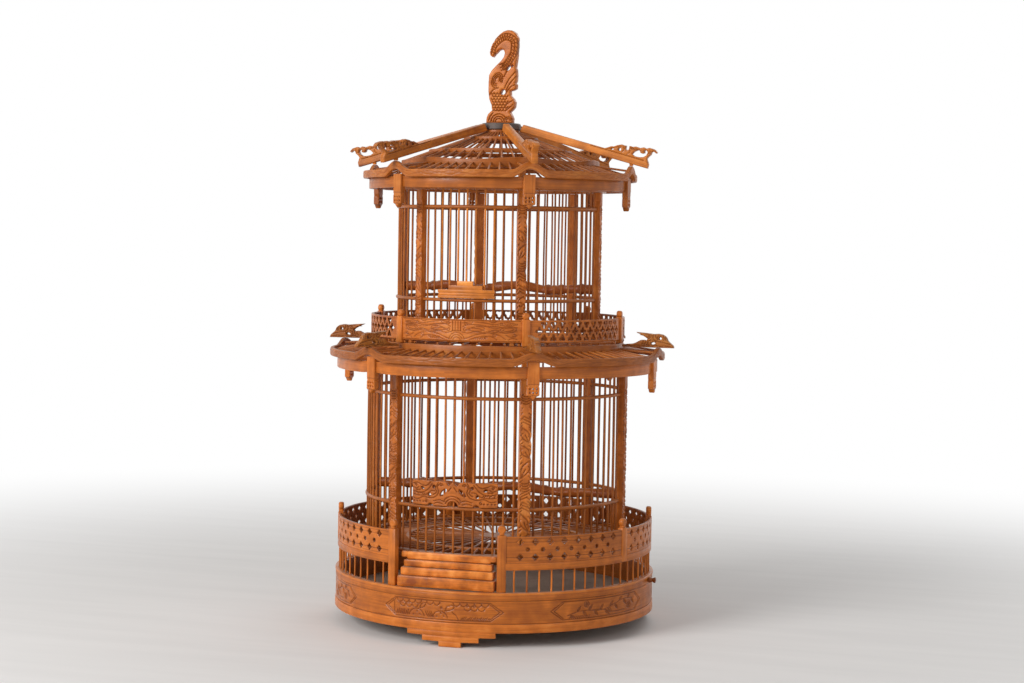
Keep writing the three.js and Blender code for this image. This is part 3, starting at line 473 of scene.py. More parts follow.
class Colours(bpy.types.PropertyGroup):
    """Colours of the finishes and the stage."""
    light: colour_setting("Lit lacquer", "Palest tone of the lacquered bamboo", (0.72, 0.250, 0.050))
    middle: colour_setting("Lacquer", "Main tone of the lacquered bamboo", (0.500, 0.136, 0.0175))
    # The dark tone also colours the painted shade on board backs and saw lines.
    dark: colour_setting("Dark lacquer", "Tone of knots and grooves", (0.150, 0.034, 0.0065))
    dust: colour_setting("Dust", "Grey bloom on the parts that face upwards", (0.40, 0.25, 0.16))
    tray: colour_setting("Tray board", "Colour of the droppings tray", (0.265, 0.195, 0.145))
    horn: colour_setting("Dark horn", "Colour of the hub", (0.042, 0.030, 0.025))
    floor: colour_setting("Floor", "Colour of the stage's floor", (0.80, 0.78, 0.76))


class Sizes(bpy.types.PropertyGroup):
    """Sizes of the small forms that the CAD frame leaves plain."""
    splint: length_setting("Splint", "Thickness of the lower splints", 0.0026, 0.0015, 0.0032)
    frieze_cut: length_setting("Frieze cut", "Depth of the cuts in the drum's frieze", 0.0009, 0, 0.002)
    pillar_cut: length_setting("Pillar cut", "Depth of the cuts in the pillars", 0.0013, 0, 0.003)
    finial_corners: IntProperty(name="Finial corners", description="Corners on a finial's round outline",
                                default=28, min=12, max=56)
    camera_distance: length_setting("Camera distance", "From the cage's axis, on the floor", 2.509, 1.5, 6)
    camera_height: length_setting("Camera height", "Above the floor", 0.473, 0, 2)
    camera_azimuth: FloatProperty(name="Camera azimuth", description="Round to the cage's right",
                                  subtype="ANGLE", default=math.radians(17.93), min=-math.pi, max=math.pi)
    lens: FloatProperty(name="Lens", description="Focal length, in millimetres on a 36 mm sensor",
                        default=72.49, min=20, max=200)


class Nodes:
    """A short way to write the nodes of a material or a world."""

    def __init__(self, owner):
        owner.use_nodes = True
        self.owner = owner
        self.tree = owner.node_tree
        self.shader = self.tree.nodes.get("Principled BSDF") or self.tree.nodes["Background"]

    def add(self, kind, output, settings=None, values=(), **inputs):
        """Makes a node, with its sockets fed by number or by name, and gives one of its outputs."""
        node = self.tree.nodes.new(kind)
        for name, value in (settings or {}).items():
            setattr(node, name, value)
        for number, value in enumerate(values):
            self.feed(node.inputs[number], value)
        for name, value in inputs.items():
            self.feed(node.inputs[name.replace("_", " ")], value)
        return node.outputs[output]

    def feed(self, socket, value):
        if isinstance(value, bpy.types.NodeSocket):
            self.tree.links.new(value, socket)
        else:
            socket.default_value = value

    def surface(self, **inputs):
        for name, value in inputs.items():
            self.feed(self.shader.inputs[name.replace("_", " ")], value)

    def mix(self, share, first, tone):
        """The first colour, moved by a share towards a plain tone."""
        return self.add("ShaderNodeMix", "Result", {"data_type": "RGBA"}, Factor=share, A=first, B=(*tone, 1))

    def sum(self, operation, *values):
        return self.add("ShaderNodeMath", 0, {"operation": operation}, values)

    def blend(self, first, *parts):
        """The first value with each further value times its weight added to it."""
        for value, weight in parts:
            first = self.sum("MULTIPLY_ADD", value, weight, first)
        return first

    def spread(self, value, low, high, bottom, top, kind="LINEAR"):
        """The value moved from the range low to high into the range bottom to top."""
        return self.add("ShaderNodeMapRange", "Result", {"interpolation_type": kind}, Value=value,
                        From_Min=low, From_Max=high, To_Min=bottom, To_Max=top)

    def place(self):
        return self.add("ShaderNodeTexCoord", "Object")

    def noise(self, vector, scale=1.0, detail=3.0, stretch=None):
        if stretch:
            vector = self.add("ShaderNodeVectorMath", 0, {"operation": "MULTIPLY"}, (vector, stretch))
        return self.add("ShaderNodeTexNoise", "Fac", Vector=vector, Scale=scale, Detail=detail)

    def bump(self, height, strength, distance):
        return self.add("ShaderNodeBump", "Normal", Height=height, Strength=strength, Distance=distance)

    def ramp(self, share, *stops):
        socket = self.add("ShaderNodeValToRGB", "Color", Fac=share)
        elements = socket.node.color_ramp.elements
        elements.remove(elements[1])
        for number, (position, colour) in enumerate(stops):
            stop = elements.new(position) if number else elements[0]
            stop.position, stop.color = position, (*colour, 1)
        return socket


def lacquered(name, shade, gloss, dust, warmth=1.0, blotch=0.75, knots=0.0):
    """Lacquered bamboo. Fibres run along the grain map, blotches and each splint's own tone move the
    colour from dark to light, grooves and pores darken it, as does the painted shade on board backs
    and saw lines, and dust lies where the face looks up."""
    made = Nodes(bpy.data.materials.new(name))
    colours = bpy.context.scene.cage_colours
    light, middle, dark = (np.array(colour) for colour in (colours.light, colours.middle, colours.dark))
    light, middle = light * shade * [1, warmth, warmth], middle * shade * [1, warmth, warmth]
    grain = made.add("ShaderNodeUVMap", "UV", {"uv_map": "grain"})
    tone, groove = (made.add("ShaderNodeAttribute", "Fac", {"attribute_name": title})
                    for title in ("tone", "groove"))
    place = made.place()
    fibre = made.noise(grain, detail=4.0, stretch=(28, 900, 1))
    streak = made.noise(grain, detail=2.0, stretch=(11, 260, 1))
    share = made.sum("MULTIPLY_ADD", fibre, 0.5, -0.1 - blotch / 2)
    share = made.blend(share, (streak, 0.45), (made.noise(place, 62.0, 4.0), blotch), (tone, 0.3))
    if knots:
        share = made.blend(share, (made.noise(place, 120.0, 2.0), -knots))
    colour = made.ramp(share, (0.12, dark * 1.7), (0.40, middle * 0.80), (0.60, middle * 1.10), (0.90, light))
    # The groove attribute darkens carved cuts, and also paints shade on board backs and saw lines.
    colour = made.mix(made.sum("MULTIPLY", groove, 0.75), colour, dark * 0.75)
    normal = made.add("ShaderNodeNewGeometry", "Normal")
    lying = made.spread(made.add("ShaderNodeSeparateXYZ", "Z", Vector=normal), 0.55, 1.0, 0.0, dust)
    patch = made.spread(made.noise(place, 55.0, 4.0), 0.36, 0.66, 0.25, 1.0)
    made.surface(
        Base_Color=made.mix(made.sum("MULTIPLY", lying, patch), colour, colours.dust),
        Roughness=made.spread(made.noise(place, 90.0, 3.0), 0.3, 0.7, gloss - 0.08, gloss + 0.09),
        Specular_IOR_Level=0.22, Coat_Weight=0.07, Coat_Roughness=0.2,
        Normal=made.bump(made.sum("ADD", fibre, streak), 0.3, 0.0003))
    return made.owner


def tray_finish(name):
    """Worn grey board: slow stains and a fine speckle on a matte face."""
    made = Nodes(bpy.data.materials.new(name))
    place = made.place()
    tray = np.array(bpy.context.scene.cage_colours.tray)
    colour = made.ramp(made.noise(place, 16.0, 5.0), (0.3, tray * 0.62), (0.52, tray), (0.72, tray * 1.35))
    speck = made.spread(made.noise(place, 420.0, 2.0), 0.58, 0.74, 0.0, 0.5)
    made.surface(Base_Color=made.mix(speck, colour, tray * 0.45), Roughness=0.8,
                 Normal=made.bump(made.noise(place, 260.0, 4.0), 0.3, 0.0003))
    return made.owner


def horn_finish(name):
    """Dark horn with grey clouding, fine scratches along it and rubbed, paler patches."""
    made = Nodes(bpy.data.materials.new(name))
    place = made.place()
    horn = np.array(bpy.context.scene.cage_colours.horn)
    cloud = made.noise(place, 70.0, 4.0)
    scratch = made.noise(place, stretch=(60, 60, 1400))
    share = made.blend(made.sum("MULTIPLY", cloud, 0.7), (scratch, 0.3))
    made.surface(Base_Color=made.ramp(share, (0.36, horn * 0.8), (0.5, horn * 1.3), (0.66, horn * 2.6)),
                 Roughness=made.spread(cloud, 0.3, 0.7, 0.38, 0.6), Normal=made.bump(scratch, 0.25, 0.0002))
    return made.owner


# Shade, roughness and dust of each lacquer, and where it has them its warmth, blotches and knots

LACQUERS = {
    "lacquer": (1.0, 0.36, 0.35),
    # Darker copy of the lacquer for the upper eave frame: painted shadow under its eave strip.
    "shaded": (0.76, 0.36, 0.35),
    "rail": (0.94, 0.40, 0.45),
    "mottled": (1.12, 0.32, 0.7, 1.0, 1.8),
    "carved": (0.90, 0.38, 0.30, 0.97, 0.9),
    "weathered": (0.60, 0.5, 0.85, 1.1, 1.0),
    "splint": (0.70, 0.42, 0.5),
    "fresh": (1.18, 0.42, 0.35, 1.12),
    "cane": (0.76, 0.36, 0.35, 0.92, 0.75, 0.5),
    "peg": (0.42, 0.34, 0.2, 0.9),
}
OTHER_FINISHES = {"tray": tray_finish, "horn": horn_finish}


def finish(look):
    """The named finish, made the first time that it is asked for."""
    name = look + " finish"
    made = bpy.data.materials.get(name)
    if made is None:
        made = OTHER_FINISHES[look](name) if look in OTHER_FINISHES else lacquered(name, *LACQUERS[look])
    return made


def add_piece(name, skins, look, body, slot, *nodes):
    """Puts closed skins into one mesh piece that rides on a body and stands for CAD nodes."""
    def joined(key):
        return np.concatenate([part[key] for part in skins])

    sizes = np.array([len(part["points"]) for part in skins])
    first = sizes.cumsum() - sizes
    corners = np.concatenate([part["corners"] + start for part, start in zip(skins, first)])
    counts = joined("counts")
    mesh = bpy.data.meshes.new(name)
    mesh.vertices.add(int(sizes.sum()))
    mesh.vertices.foreach_set("co", (joined("points") * MM).ravel())
    mesh.loops.add(len(corners))
    mesh.loops.foreach_set("vertex_index", corners.astype(np.int32))
    mesh.polygons.add(len(counts))
    mesh.polygons.foreach_set("loop_start", (counts.cumsum() - counts).astype(np.int32))
    mesh.update(calc_edges=True)
    mesh.polygons.foreach_set("use_smooth", np.ones(len(counts), bool))
    mesh.uv_layers.new(name="grain").data.foreach_set("uv", joined("grain").ravel())
    tone = np.repeat([part["tone"] for part in skins], sizes)
    for title, values in (("tone", tone), ("groove", joined("groove"))):
        mesh.attributes.new(title, "FLOAT", "POINT").data.foreach_set("value", values)
    if mesh.validate():
        raise RuntimeError(f"{name} has faces that Blender had to mend")
    mesh.set_sharp_from_angle(angle=SMOOTH_UNDER)
    mesh.materials.append(finish(look))
    piece = bpy.data.objects.new(name, mesh)
    bpy.context.scene.collection.objects.link(piece)
    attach(piece, body)
    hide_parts(*nodes)


class Step:
    """What every operator of the cage shares."""
    bl_options = {"REGISTER", "UNDO"}

    @classmethod
    def poll(cls, context):
        return context.scene is not None


# Drum

def frame_strokes():
    """Border of a cartouche: two long lines, and pointed ends that are cut twice."""
    strokes = [[(-60, t), (57, t)] for t in (10.4, -10.4)]
    for tip, root in ((72, 57), (-75, -60)):
        back = root - tip / 75
        point = back + 0.8 * (tip - root)
        for side in (1, -1):
            strokes += [[(root, side * 10.4), (tip, 0)], [(back, side * 9), (point, 0)]]
    return strokes


def cloud_strokes():
    """A cloud bank over two hills, with leaves between them and grass on both sides."""
    strokes = [[(-61.5, 9), (-61.5, -9)]]
    strokes += [arc((s, 9.8), 4.1, 182, 358, 11)
                for s in (-53.5, -45.3, -37, -28.8, -14, -5.8, 18, 26.3, 34.6, 42.9, 51)]
    strokes += [arc((s, 5.2), 4.1, 200, 345, 10) for s in (-49.6, -41.2, -33, 30.8, 38.8, 47)]
    strokes += [ring((s, 6.4), 1.1, 7) for s in (-41.5, 30.6, 38.6)]
    strokes += [ring((0, 3.2), reach, 9) for reach in (0.5, 1.1)]
    for start, end in (((-27, 0.6), (-19, 7.6)), ((4.6, -0.6), (15.6, 6.8))):
        strokes += curves(9, [start, (start[0] + 2.4, end[1] - 2), end],
                          [start, (end[0] - 2.2, start[1] + 2.4), end])
    for s, reach in ((-31, 10.2), (-1.5, 9.4)):
        strokes.append(arc((s, -10.2), reach, 12, 168, 13))
        strokes += [ring((s + ahead, t), 0.5, 5) for ahead, t in ((-4, -7), (0.8, -3.2), (4.6, -6.4))]
    strokes += curves(7, *([(s, -2.2), (s + 1.4, -5.4), (s + 4, -8.6)] for s in (-19.5, -17, -14.6, -12.4)))
    strokes += curves(9, [(13, -1.6), (17.6, -5), (20.6, -10)])
    strokes += ticks(np.arange(-58, -42, 2.5), -8.4, 1.3, -2.8, 0.8)
    return strokes + ticks(np.arange(23, 55, 2.2), -10, 2.3, -6.6, 0.7)


def branch_strokes():
    """A flowering branch with leaves on both sides of its stem."""
    strokes = [ripple((-54, -6), (54, 5.5), 2.2, 1.6, 60), ripple((-20, -2), (34, -8), 1.2, 1.2, 30)]
    for number in range(13):
        s, side = -50 + number * 8.2, 1 if number % 2 else -1
        share = (s + 54) / 108
        t = -6 + share * 11.5 + 2.2 * math.sin(1.6 * TAU * share)
        tip = (s + 5.6, np.clip(t + side * 6.4, -8.6, 8.6))
        strokes += curves(7, *([(s, t), (s + ahead, t + side * aside), tip]
                               for ahead, aside in ((1.2, 3.6), (4.2, 2.4))))
        strokes.append([(s + 0.8, t + side), (s + 3.8, t + side * 4)])
    for middle in ((-28, 5.6), (6, -5.4), (43, -3)):
        strokes += [ring(petal, 1.7, 9) for petal in around(middle, 2.1, np.arange(5) * TAU / 5)]
    return strokes + ticks(np.arange(-52, -24, 2.6), -10, 2, -7.4)


def frieze_strokes(radius):
    """Six cartouches round the drum, in turn a cloud bank over hills and a flowering branch."""
    scenes = [frame_strokes() + drawing() for drawing in (cloud_strokes, branch_strokes)]
    return [np.asarray(stroke) + [bay * BAY * radius, 0] for bay in range(BAYS) for stroke in scenes[bay % 2]]


class AddDrum(Step, bpy.types.Operator):
    """Foot hoop with its stepped feet, carved frieze, floor hoop and liner"""
    bl_idname = "cage.drum"
    bl_label = "Drum"

    def execute(self, context):
        outer = radius_of("floor_hoop")
        inner = outer - 7
        foot_top = heights("drum_foot_hoop")[1]
        hoop_bottom = foot_top - 10.5
        parts = [bent(band(inner, outer, hoop_bottom, foot_top, 0.9), pitch=1.5)]
        tier = hoop_bottom / 3
        for middle in math.radians(3) + np.arange(3) * TAU / 3:
            for number, width in enumerate((26, 67, 105)):
                half = math.asin(width / 2 / outer)
                section = band(outer - 6.5, outer - 0.5, number * tier, (number + 1) * tier + 0.3, 0.6)
                parts.append(bent(section, middle - half, middle + half, 1.5))
        add_piece("foot_hoop", parts, "lacquer", "cage", "lacquered_bamboo", "drum_foot_hoop")

        face = radius_of("drum_band")
        bottom, top = heights("drum_band")
        middle = (bottom + top) / 2
        cut = context.scene.cage_sizes.frieze_cut / MM
        girth, stations, last_frame = TAU * face, 2000, 80
        s = np.arange(stations) * girth / stations
        t = np.linspace(bottom, top, 40) - middle
        folded = np.where(s > girth - last_frame, s - girth, s)
        groove = carve(*np.meshgrid(folded, t, indexing="ij"), frieze_strokes(face), 0.5)
        parts = [relief(s, t, -cut * groove, groove, face - inner, wrapped(face, 0, middle))]
        add_piece("frieze", parts, "lacquer", "cage", "carved_bamboo", "drum_band")

        bottom, top = heights("floor_hoop")
        parts = [bent(band(inner, outer - 0.6, bottom, bottom + 6.4, 0.7), pitch=1.5),
                 bent(band(inner, outer, bottom + 6, top, 1.0), pitch=1.5)]
        add_piece("base_rim", parts, "rail", "cage", "lacquered_bamboo", "floor_hoop")

        wall = inner - SEAT
        ledge = hoop_bottom + 11.5
        parts = [bent(band(wall - 3, wall, *heights("drum_liner"), 0.5)),
                 bent(band(wall - 11, wall - 2.4, ledge, ledge + 3, 0.5))]
        add_piece("liner", parts, "splint", "cage", "lacquered_bamboo", "drum_liner")
        return {"FINISHED"}


class AddTrayAndPegs(Step, bpy.types.Operator):
    """Droppings tray, and the two turned pegs that lock the cage to the drum"""
    bl_idname = "cage.tray_and_pegs"
    bl_label = "Tray and pegs"

    def execute(self, context):
        radius = radius_of("droppings_tray")
        bottom, top = heights("droppings_tray")
        profile = [(0, bottom), (radius - 0.5, bottom), (radius, bottom + 0.5), (radius, top - 0.5),
                   (radius - 0.5, top), (radius - 6, top), (0, top)]
        add_piece("tray", [turned(profile, 120)], "tray", "droppings_tray", "tray_board", "droppings_tray")
        for side, name in ((1, "lock_peg_right"), (-1, "lock_peg_left")):
            low, high = span(name)
            inner, tip = (low[0], high[0])[::side]
            reach = np.array([0, 10.4, 10.5, 11, 12.6, 14.2, 15.6, 17.4, 19, 19.4, abs(tip - inner)])
            width = [2.5, 2.5, 2.5, 3.3, 3.5, 2.6, 2.2, 3.2, 3.4, 2.4, 0.4]
            path = [inner, 0, (low[2] + high[2]) / 2] + reach[:, None] * [side, 0, 0]
            parts = [sweep(path, circle(1, 14), scale=width)]
            add_piece(name.removeprefix("lock_"), parts, "peg", name, "black_horn", name)
        return {"FINISHED"}


# Gallery, stair and floor

# Angles of the posts on the right, and where the panels after them end

GALLERY_POSTS = np.radians([20.4, 70.6, 107.1, 143.6])
GALLERY_ENDS = np.append(GALLERY_POSTS[1:], math.pi - 0.001)


def finial(radius, height, base, circle_radius, angle):
    """A flat round finial that faces outwards on a short neck, sawn from board and eased all round."""
    corners = bpy.context.scene.cage_sizes.finial_corners
    disc = arc((0, height - radius), radius, -56, 236, corners)
    outline = [(-0.62 * radius, 0), (0.62 * radius, 0), *disc]
    return board(outline, facing(circle_radius, angle, base), 6.4, 0.6, (), 1.9)


def gallery_panel(wall, low, high, side, start, end, columns):
    """A pierced panel between two angles of one side: two rows of stars, round holes between them, and
    four fine lines. The last panel counts its columns from the middle of the rear."""
    wide = wall * (end - start)
    pitch = wall * math.radians(5.35)
    first = pitch / 2 if end == GALLERY_ENDS[-1] else (wide - (columns - 1) * pitch) / 2
    spots = wide - first - np.arange(columns) * pitch
    box = [(0, -0.5), (wide, -0.5), (wide, high), (0, high)]
    holes = [star_hole((s, t), 4.3) for s in spots for t in (6.6, 24.2)]
    holes += [round_hole((s - pitch / 2, 15.4), 4.7) for s in spots[:-1]]
    lines = [[(2, t), (wide - 2, t)] for t in (2.4, 6.6, 24.2, 28.2)]
    box, holes, lines = ([np.asarray(line) * [side, 1] for line in group] for group in ([box], holes, lines))
    # The panel's back and saw lines get painted shade.
    return board(*box, wrapped(wall, side * start, low), 2.8, 0.8, holes, 0.5, lines, 0.32, 0.3, painted_shade=0.75)


class AddGallery(Step, bpy.types.Operator):
    """Gallery round the lower storey in two halves, with its bars, rail, pierced panels and posts"""
    bl_idname = "cage.gallery"
    bl_label = "Gallery"

    def execute(self, context):
        foot = heights("gallery_right")[0]
        outer = radius_of("floor_hoop") - 3.5
        rail, panel_low, panel_top = foot + 25, foot + 33.3, foot + 63.7
        bar_circle, post_circle = outer - 1.8, outer - 2.7
        bars = GALLERY_POSTS[0] + math.radians(4.45) * np.arange(1, 36)
        for side, name in ((1, "gallery_right"), (-1, "gallery_left")):
            limits = sorted((side * (GALLERY_POSTS[0] - 0.006), side * GALLERY_ENDS[-1]))
            parts = [bent(rounded(7.3, 8.3, 1.1) + [outer - 2.85, rail + 4.15], *limits, 1.5)]
            parts += [gallery_panel(outer - 1.4, panel_low, panel_top - panel_low, side, *panel)
                      for panel in zip(GALLERY_POSTS, GALLERY_ENDS, (8, 6, 6, 6))]
            for number, angle in enumerate(side * GALLERY_POSTS):
                low = rail + 0.4 if number else foot
                parts += [post(post_circle, angle, low, panel_top + 1.3, 10.4, 7, 0.8),
                          finial(4.8, 11.6, panel_top + 1, post_circle, angle)]
            parts += [spoke(side * angle, (bar_circle, foot), (bar_circle, rail + 1), 2.2, 0.25)
                      for angle in bars[bars < math.pi - 0.03]]
            add_piece(name + "_dressed", parts, "lacquer", "cage", "lacquered_bamboo", name)
        return {"FINISHED"}


class AddStair(Step, bpy.types.Operator):
    """Stair of four stacked boards with a short cheek at each end"""
    bl_idname = "cage.stair"
    bl_label = "Stair"

    def execute(self, context):
        low, high = span("stair")
        parts, bottom = [], low[2]
        for number, rise in enumerate((12.5, 9.5, 8, 9)):
            front, half = low[1] + number * 4, high[0] - 2.5 * number
            middle = (front + high[1]) / 2, bottom + rise / 2 - 0.1
            parts.append(beam((-half, *middle), (half, *middle), high[1] - front, rise - 0.4, 1.1))
            bottom += rise
        middle = front + 2.5, bottom - 3.5
        parts += [beam((side * (half - 0.4), *middle), (side * (half + 7), *middle), 5, 7, 0.8)
                  for side in (1, -1)]
        add_piece("stair_boards", parts, "mottled", "cage", "lacquered_bamboo", "stair")
        return {"FINISHED"}


class AddCageFloor(Step, bpy.types.Operator):
    """Slatted floor of the cage: radial splints on three rings and a centre disc"""
    bl_idname = "cage.slatted_floor"
    bl_label = "Slatted floor"

    def execute(self, context):
        bottom, top = heights("cage_floor")
        level = (bottom + top) / 2 + 0.2
        storey = radius_of("lower_grille_1")
        outer = radius_of("floor_hoop") - 6.6
        gate = math.radians(20.4 + 3.2)
        disc = [(0, bottom), (19.4, bottom), (20, bottom + 0.6), (20, top - 0.6), (19.4, top), (0, top)]
        parts = [turned(disc, 48), bent(band(storey - 55.2, storey - 50.2, bottom, top, 0.9)),
                 bent(band(storey - 5.7, storey + 5.5, bottom, top, 0.9)),
                 bent(band(outer - 3.6, outer, bottom, top, 0.8), gate, TAU - gate)]
        for number, angle in enumerate(spread_round(72)):
            start = storey - 53 if number % 2 else 18
            end = outer - 2 if gate < angle < TAU - gate else storey
            parts.append(spoke(angle, (start, level), (end, level), 2.6, 0.5))
        add_piece("slatted_floor", parts, "splint", "cage", "bamboo_splints", "cage_floor")
        return {"FINISHED"}


# Storeys, with the millimetres by which their forms stand out, rise or drop from the CAD frame's edges

LOWER = SimpleNamespace(
    name="lower", bars=13, door_bars=9, splint_share=1.0, ring_rise=49.5, ring_drop=25.0, pillar_out=2.5,
    pillar_width=13.5, pillar_depth=9, plate_in=4, king_in=2.75, fascia_out=38.5, fascia_drop=1.7,
    fascia_tall=14, pendant_rise=6.3, eave_look="lacquer", strip_drop=6.4, corner_rise=7.6)
# The upper eave frame's lacquer is darkened as painted shadow under its eave strip.
UPPER = SimpleNamespace(
    name="upper", bars=11, door_bars=7, splint_share=0.86, ring_rise=44.6, ring_drop=21.8, pillar_out=2,
    pillar_width=11, pillar_depth=8, plate_in=5, king_in=2, fascia_out=36.5, fascia_drop=3.0,
    fascia_tall=13.4, pendant_rise=2.6, eave_look="shaded", strip_drop=12.3, corner_rise=9.5)
BAR_INSET = 0.35  # how far the splints stand inside the middle of their rings


def bar_circle(storey):
    """Radius of the middle of the rings that hold a storey's splints."""
    return radius_of(storey.name + "_grille_1") - 2.7


def bar_pitch(storey):
    """Angle between the splints of a bay: the room between its pillars, shared out evenly."""
    return (BAY - 2 * math.asin(storey.pillar_width / 2 / bar_circle(storey))) / (storey.bars - 0.1)


def centred(count):
    """Whole steps about the middle of a row."""
    return np.arange(count) - (count - 1) / 2


def pillar_strokes(height, half, seed):
    """Knife work of a pillar, one motif after another up its height with plain stretches between them: a
    stack of curved bars, a long leaf with a rib, slanted cuts, or a curl with a tail. Chips run up both
    edges."""
    dice = np.random.default_rng(seed)
    strokes = [arc((0, height - 12 - step * 2.9), half * 1.1, 220, 320, 7) for step in range(4)]
    t = 5.0
    while t < height - 46:
        side = 1 if dice.random() < 0.5 else -1
        kind, tall = dice.integers(5), 12
        if kind == 0:
            strokes += [arc((0, t + 5 + step * 2.9), half * 1.15, 222, 318, 7) for step in range(4)]
        elif kind < 3:
            tall = dice.uniform(15, 23)
            foot, tip = np.array([-side * half * 0.7, t]), np.array([side * half * 0.8, t + tall])
            middle, bow = (foot + tip) / 2, np.array([half * 0.62, -side * 2])
            strokes += curves(12, [foot, middle - bow, tip], [foot, middle + bow, tip])
            strokes += [[foot, middle], [middle + [-side * 2, 4], middle + [side * 1.5, 7]]]
        elif kind == 3:
            strokes += [[(-side * half * 0.9, t + step * 3.4), (side * half * 0.4, t + 4 + step * 3.4)]
                        for step in range(3)]
        else:
            tall = 15
            strokes.append(curl((side * half * 0.2, t + 5), half * 0.75, dice.uniform(0, 360), 1.0, side, 16))
            tail = np.array([(0.9, 6), (0.4, 12), (-0.5, 15)]) * [side * half, 1]
            strokes += curves(8, tail + [0, t])
        t += tall + dice.uniform(0.5, 3)
    chips = np.arange(6, height - 18, 5.2)
    for side in (-1, 1):
        for t in chips + dice.uniform(-1.6, 1.6, len(chips)):
            strokes.append([(side * half * 0.98, t), (side * half * dice.uniform(0.45, 0.7), t + 2.6)])
    return strokes


def pillar(place, height, width, depth, cut, seed):
    """A carved pillar. Its face swells and sinks by 0.5 * sin(height / 7 + across / 3) between sunk edges,
    the strokes are cut into it, and its front edges are hewn in by nicks, each
    0.16 * half width * exp(-(gap / 3.2)^2)."""
    half = width / 2
    s = np.linspace(0, height, int(height / 0.75))
    t = np.linspace(-half, half, 17)
    up, across = np.meshgrid(s, t, indexing="ij")
    cuts = carve(across, up, pillar_strokes(height, half, seed), 0.66)
    dice = np.random.default_rng(seed + 50)
    nicks = [np.sort(dice.uniform(6, height - 6, int(height / 22))) for _ in range(2)]
    left, right = (np.exp(-(np.abs(s[:, None] - row).min(1) / 3.2) ** 2)[:, None] for row in nicks)
    edge_share = np.clip(np.abs(across) / half * 2 - 1, 0, 1)
    hewn = np.where(across < 0, left, right) * edge_share
    swell = 0.5 * np.sin(up / 7 + across / 3 + seed) - 0.5
    rise = swell * (1 - edge_share) - cut * cuts - 0.7 * edge_share ** 3
    outline = np.pad(across * (1 - 0.16 * hewn), ((0, 0), (1, 1)), "edge")
    outline = np.concatenate([outline, np.full((len(s), 2), [half, -half])], 1)
    groove = np.pad(np.maximum(0.75 * cuts, 0.45 * hewn), ((0, 0), (1, 3)))
    return loft(place(outline, s[:, None], edged(rise, 1.3, depth)), groove=groove)


def add_storey(storey):
    """Bars, rings and carved pillars of one storey, each bay a piece of its own."""
    sizes = bpy.context.scene.cage_sizes
    splint, cut = sizes.splint / MM * storey.splint_share, sizes.pillar_cut / MM
    bottom, top = heights(storey.name + "_pillar_1")
    middle, pitch = bar_circle(storey), bar_pitch(storey)
    rings = bottom + storey.ring_rise, top - storey.ring_drop
    half = BAY / 2 - math.asin((storey.pillar_width / 2 - 0.5) / (middle - 2.7))
    for bay in range(BAYS):
        turn = bay * BAY
        parts = [bent(rounded(5.4, 4, 1.7, 3) + [middle, level + 2], turn - half, turn + half)
                 for level in rings]
        for step in centred(storey.bars):
            in_door = bay == 0 and abs(step) <= (storey.door_bars - 1) / 2
            high = rings[0] + 2 if in_door else top
            parts.append(spoke(turn + step * pitch, (middle - BAR_INSET, bottom), (middle - BAR_INSET, high),
                               splint, 0.45 if bay else 0))
        name = f"{storey.name}_grille_{bay + 1}"
        add_piece(name + "_bars", parts, "splint", "cage", "bamboo_splints", name)
        place = facing(middle + storey.pillar_out + storey.pillar_depth / 2, CORNERS[bay], bottom)
        seed = bay + 35 + storey.bars
        parts = [pillar(place, top - bottom, storey.pillar_width, storey.pillar_depth, cut, seed)]
        name = f"{storey.name}_pillar_{bay + 1}"
        add_piece(name + "_carved", parts, "carved", "cage", "carved_bamboo", name)


class AddLowerStorey(Step, bpy.types.Operator):
    """Six bays of splints with two rings, and the carved pillars between them"""
    bl_idname = "cage.lower_storey"
    bl_label = "Lower storey"

    def execute(self, context):
        add_storey(LOWER)
        return {"FINISHED"}


class AddUpperStorey(Step, bpy.types.Operator):
    """Six narrower bays of splints with two rings, and their carved pillars"""
    bl_idname = "cage.upper_storey"
    bl_label = "Upper storey"

    def execute(self, context):
        add_storey(UPPER)
        return {"FINISHED"}


def door_rods(storey):
    """Upright splints of a sliding door, on the same circle and pitch as the bay that it fills."""
    low, high = ((bar_circle(storey) - BAR_INSET, height) for height in heights(storey.name + "_door"))
    return [spoke(step * bar_pitch(storey), low, high, 2.5) for step in centred(storey.door_bars)]


def beast_strokes():
    """Right half of the door's plaque: a long beast with a curled tail beside the arch."""
    strokes = curves(40, [(14.5, 27), (18.5, 22), (17, 16.5), (20.5, 11), (28, 8.6), (37, 9.6), (44, 6.6),
                          (51, 7.4)])
    strokes += curves(18, [(17.5, 27.4), (20.8, 20), (19.6, 16), (24, 12.6)])
    strokes += curves(24, [(25, 25.6), (30, 19.4), (36, 15.4), (43, 14), (51, 15.6)],
                      [(27.6, 27), (33, 22.6), (40, 23.6), (45, 25.6), (51, 24.4)],
                      [(22, 17), (27, 16.6), (33, 12.4), (42, 10.8), (51, 11.6)])
    strokes += curves(9, [(43, 20.6), (46.5, 18.6), (51, 20)], [(9.6, 5.4), (16, 7.4), (23, 5.4)],
                      [(12, 2.6), (18, 4), (23, 2.4)])
    strokes += [curl((47.4, 22.4), 2, 30, 1), curl((14, 24.6), 2.2, 200, 1.1, -1), curl((33.6, 5), 2, 90, 1)]
    strokes += [arc((0, 0), 9, 20, 88), arc((0, 0), 12, 34, 89)]
    strokes += [[(41, 17.4), (47, 16.8)], [(1.6, 22), (5.4, 17.4)], [(6.4, 10.6), (9.4, 8.2)]]
    strokes += [ring((s, 4.2), 0.6, 6) for s in (37, 41.4, 45.8, 49.6)]
    for s in np.arange(35, 50, 2.6):
        swing = 0.9 * math.sin(s)
        strokes.append([(s, 12.4 + swing), (s + 1.5, 14.4 + swing)])
    return strokes


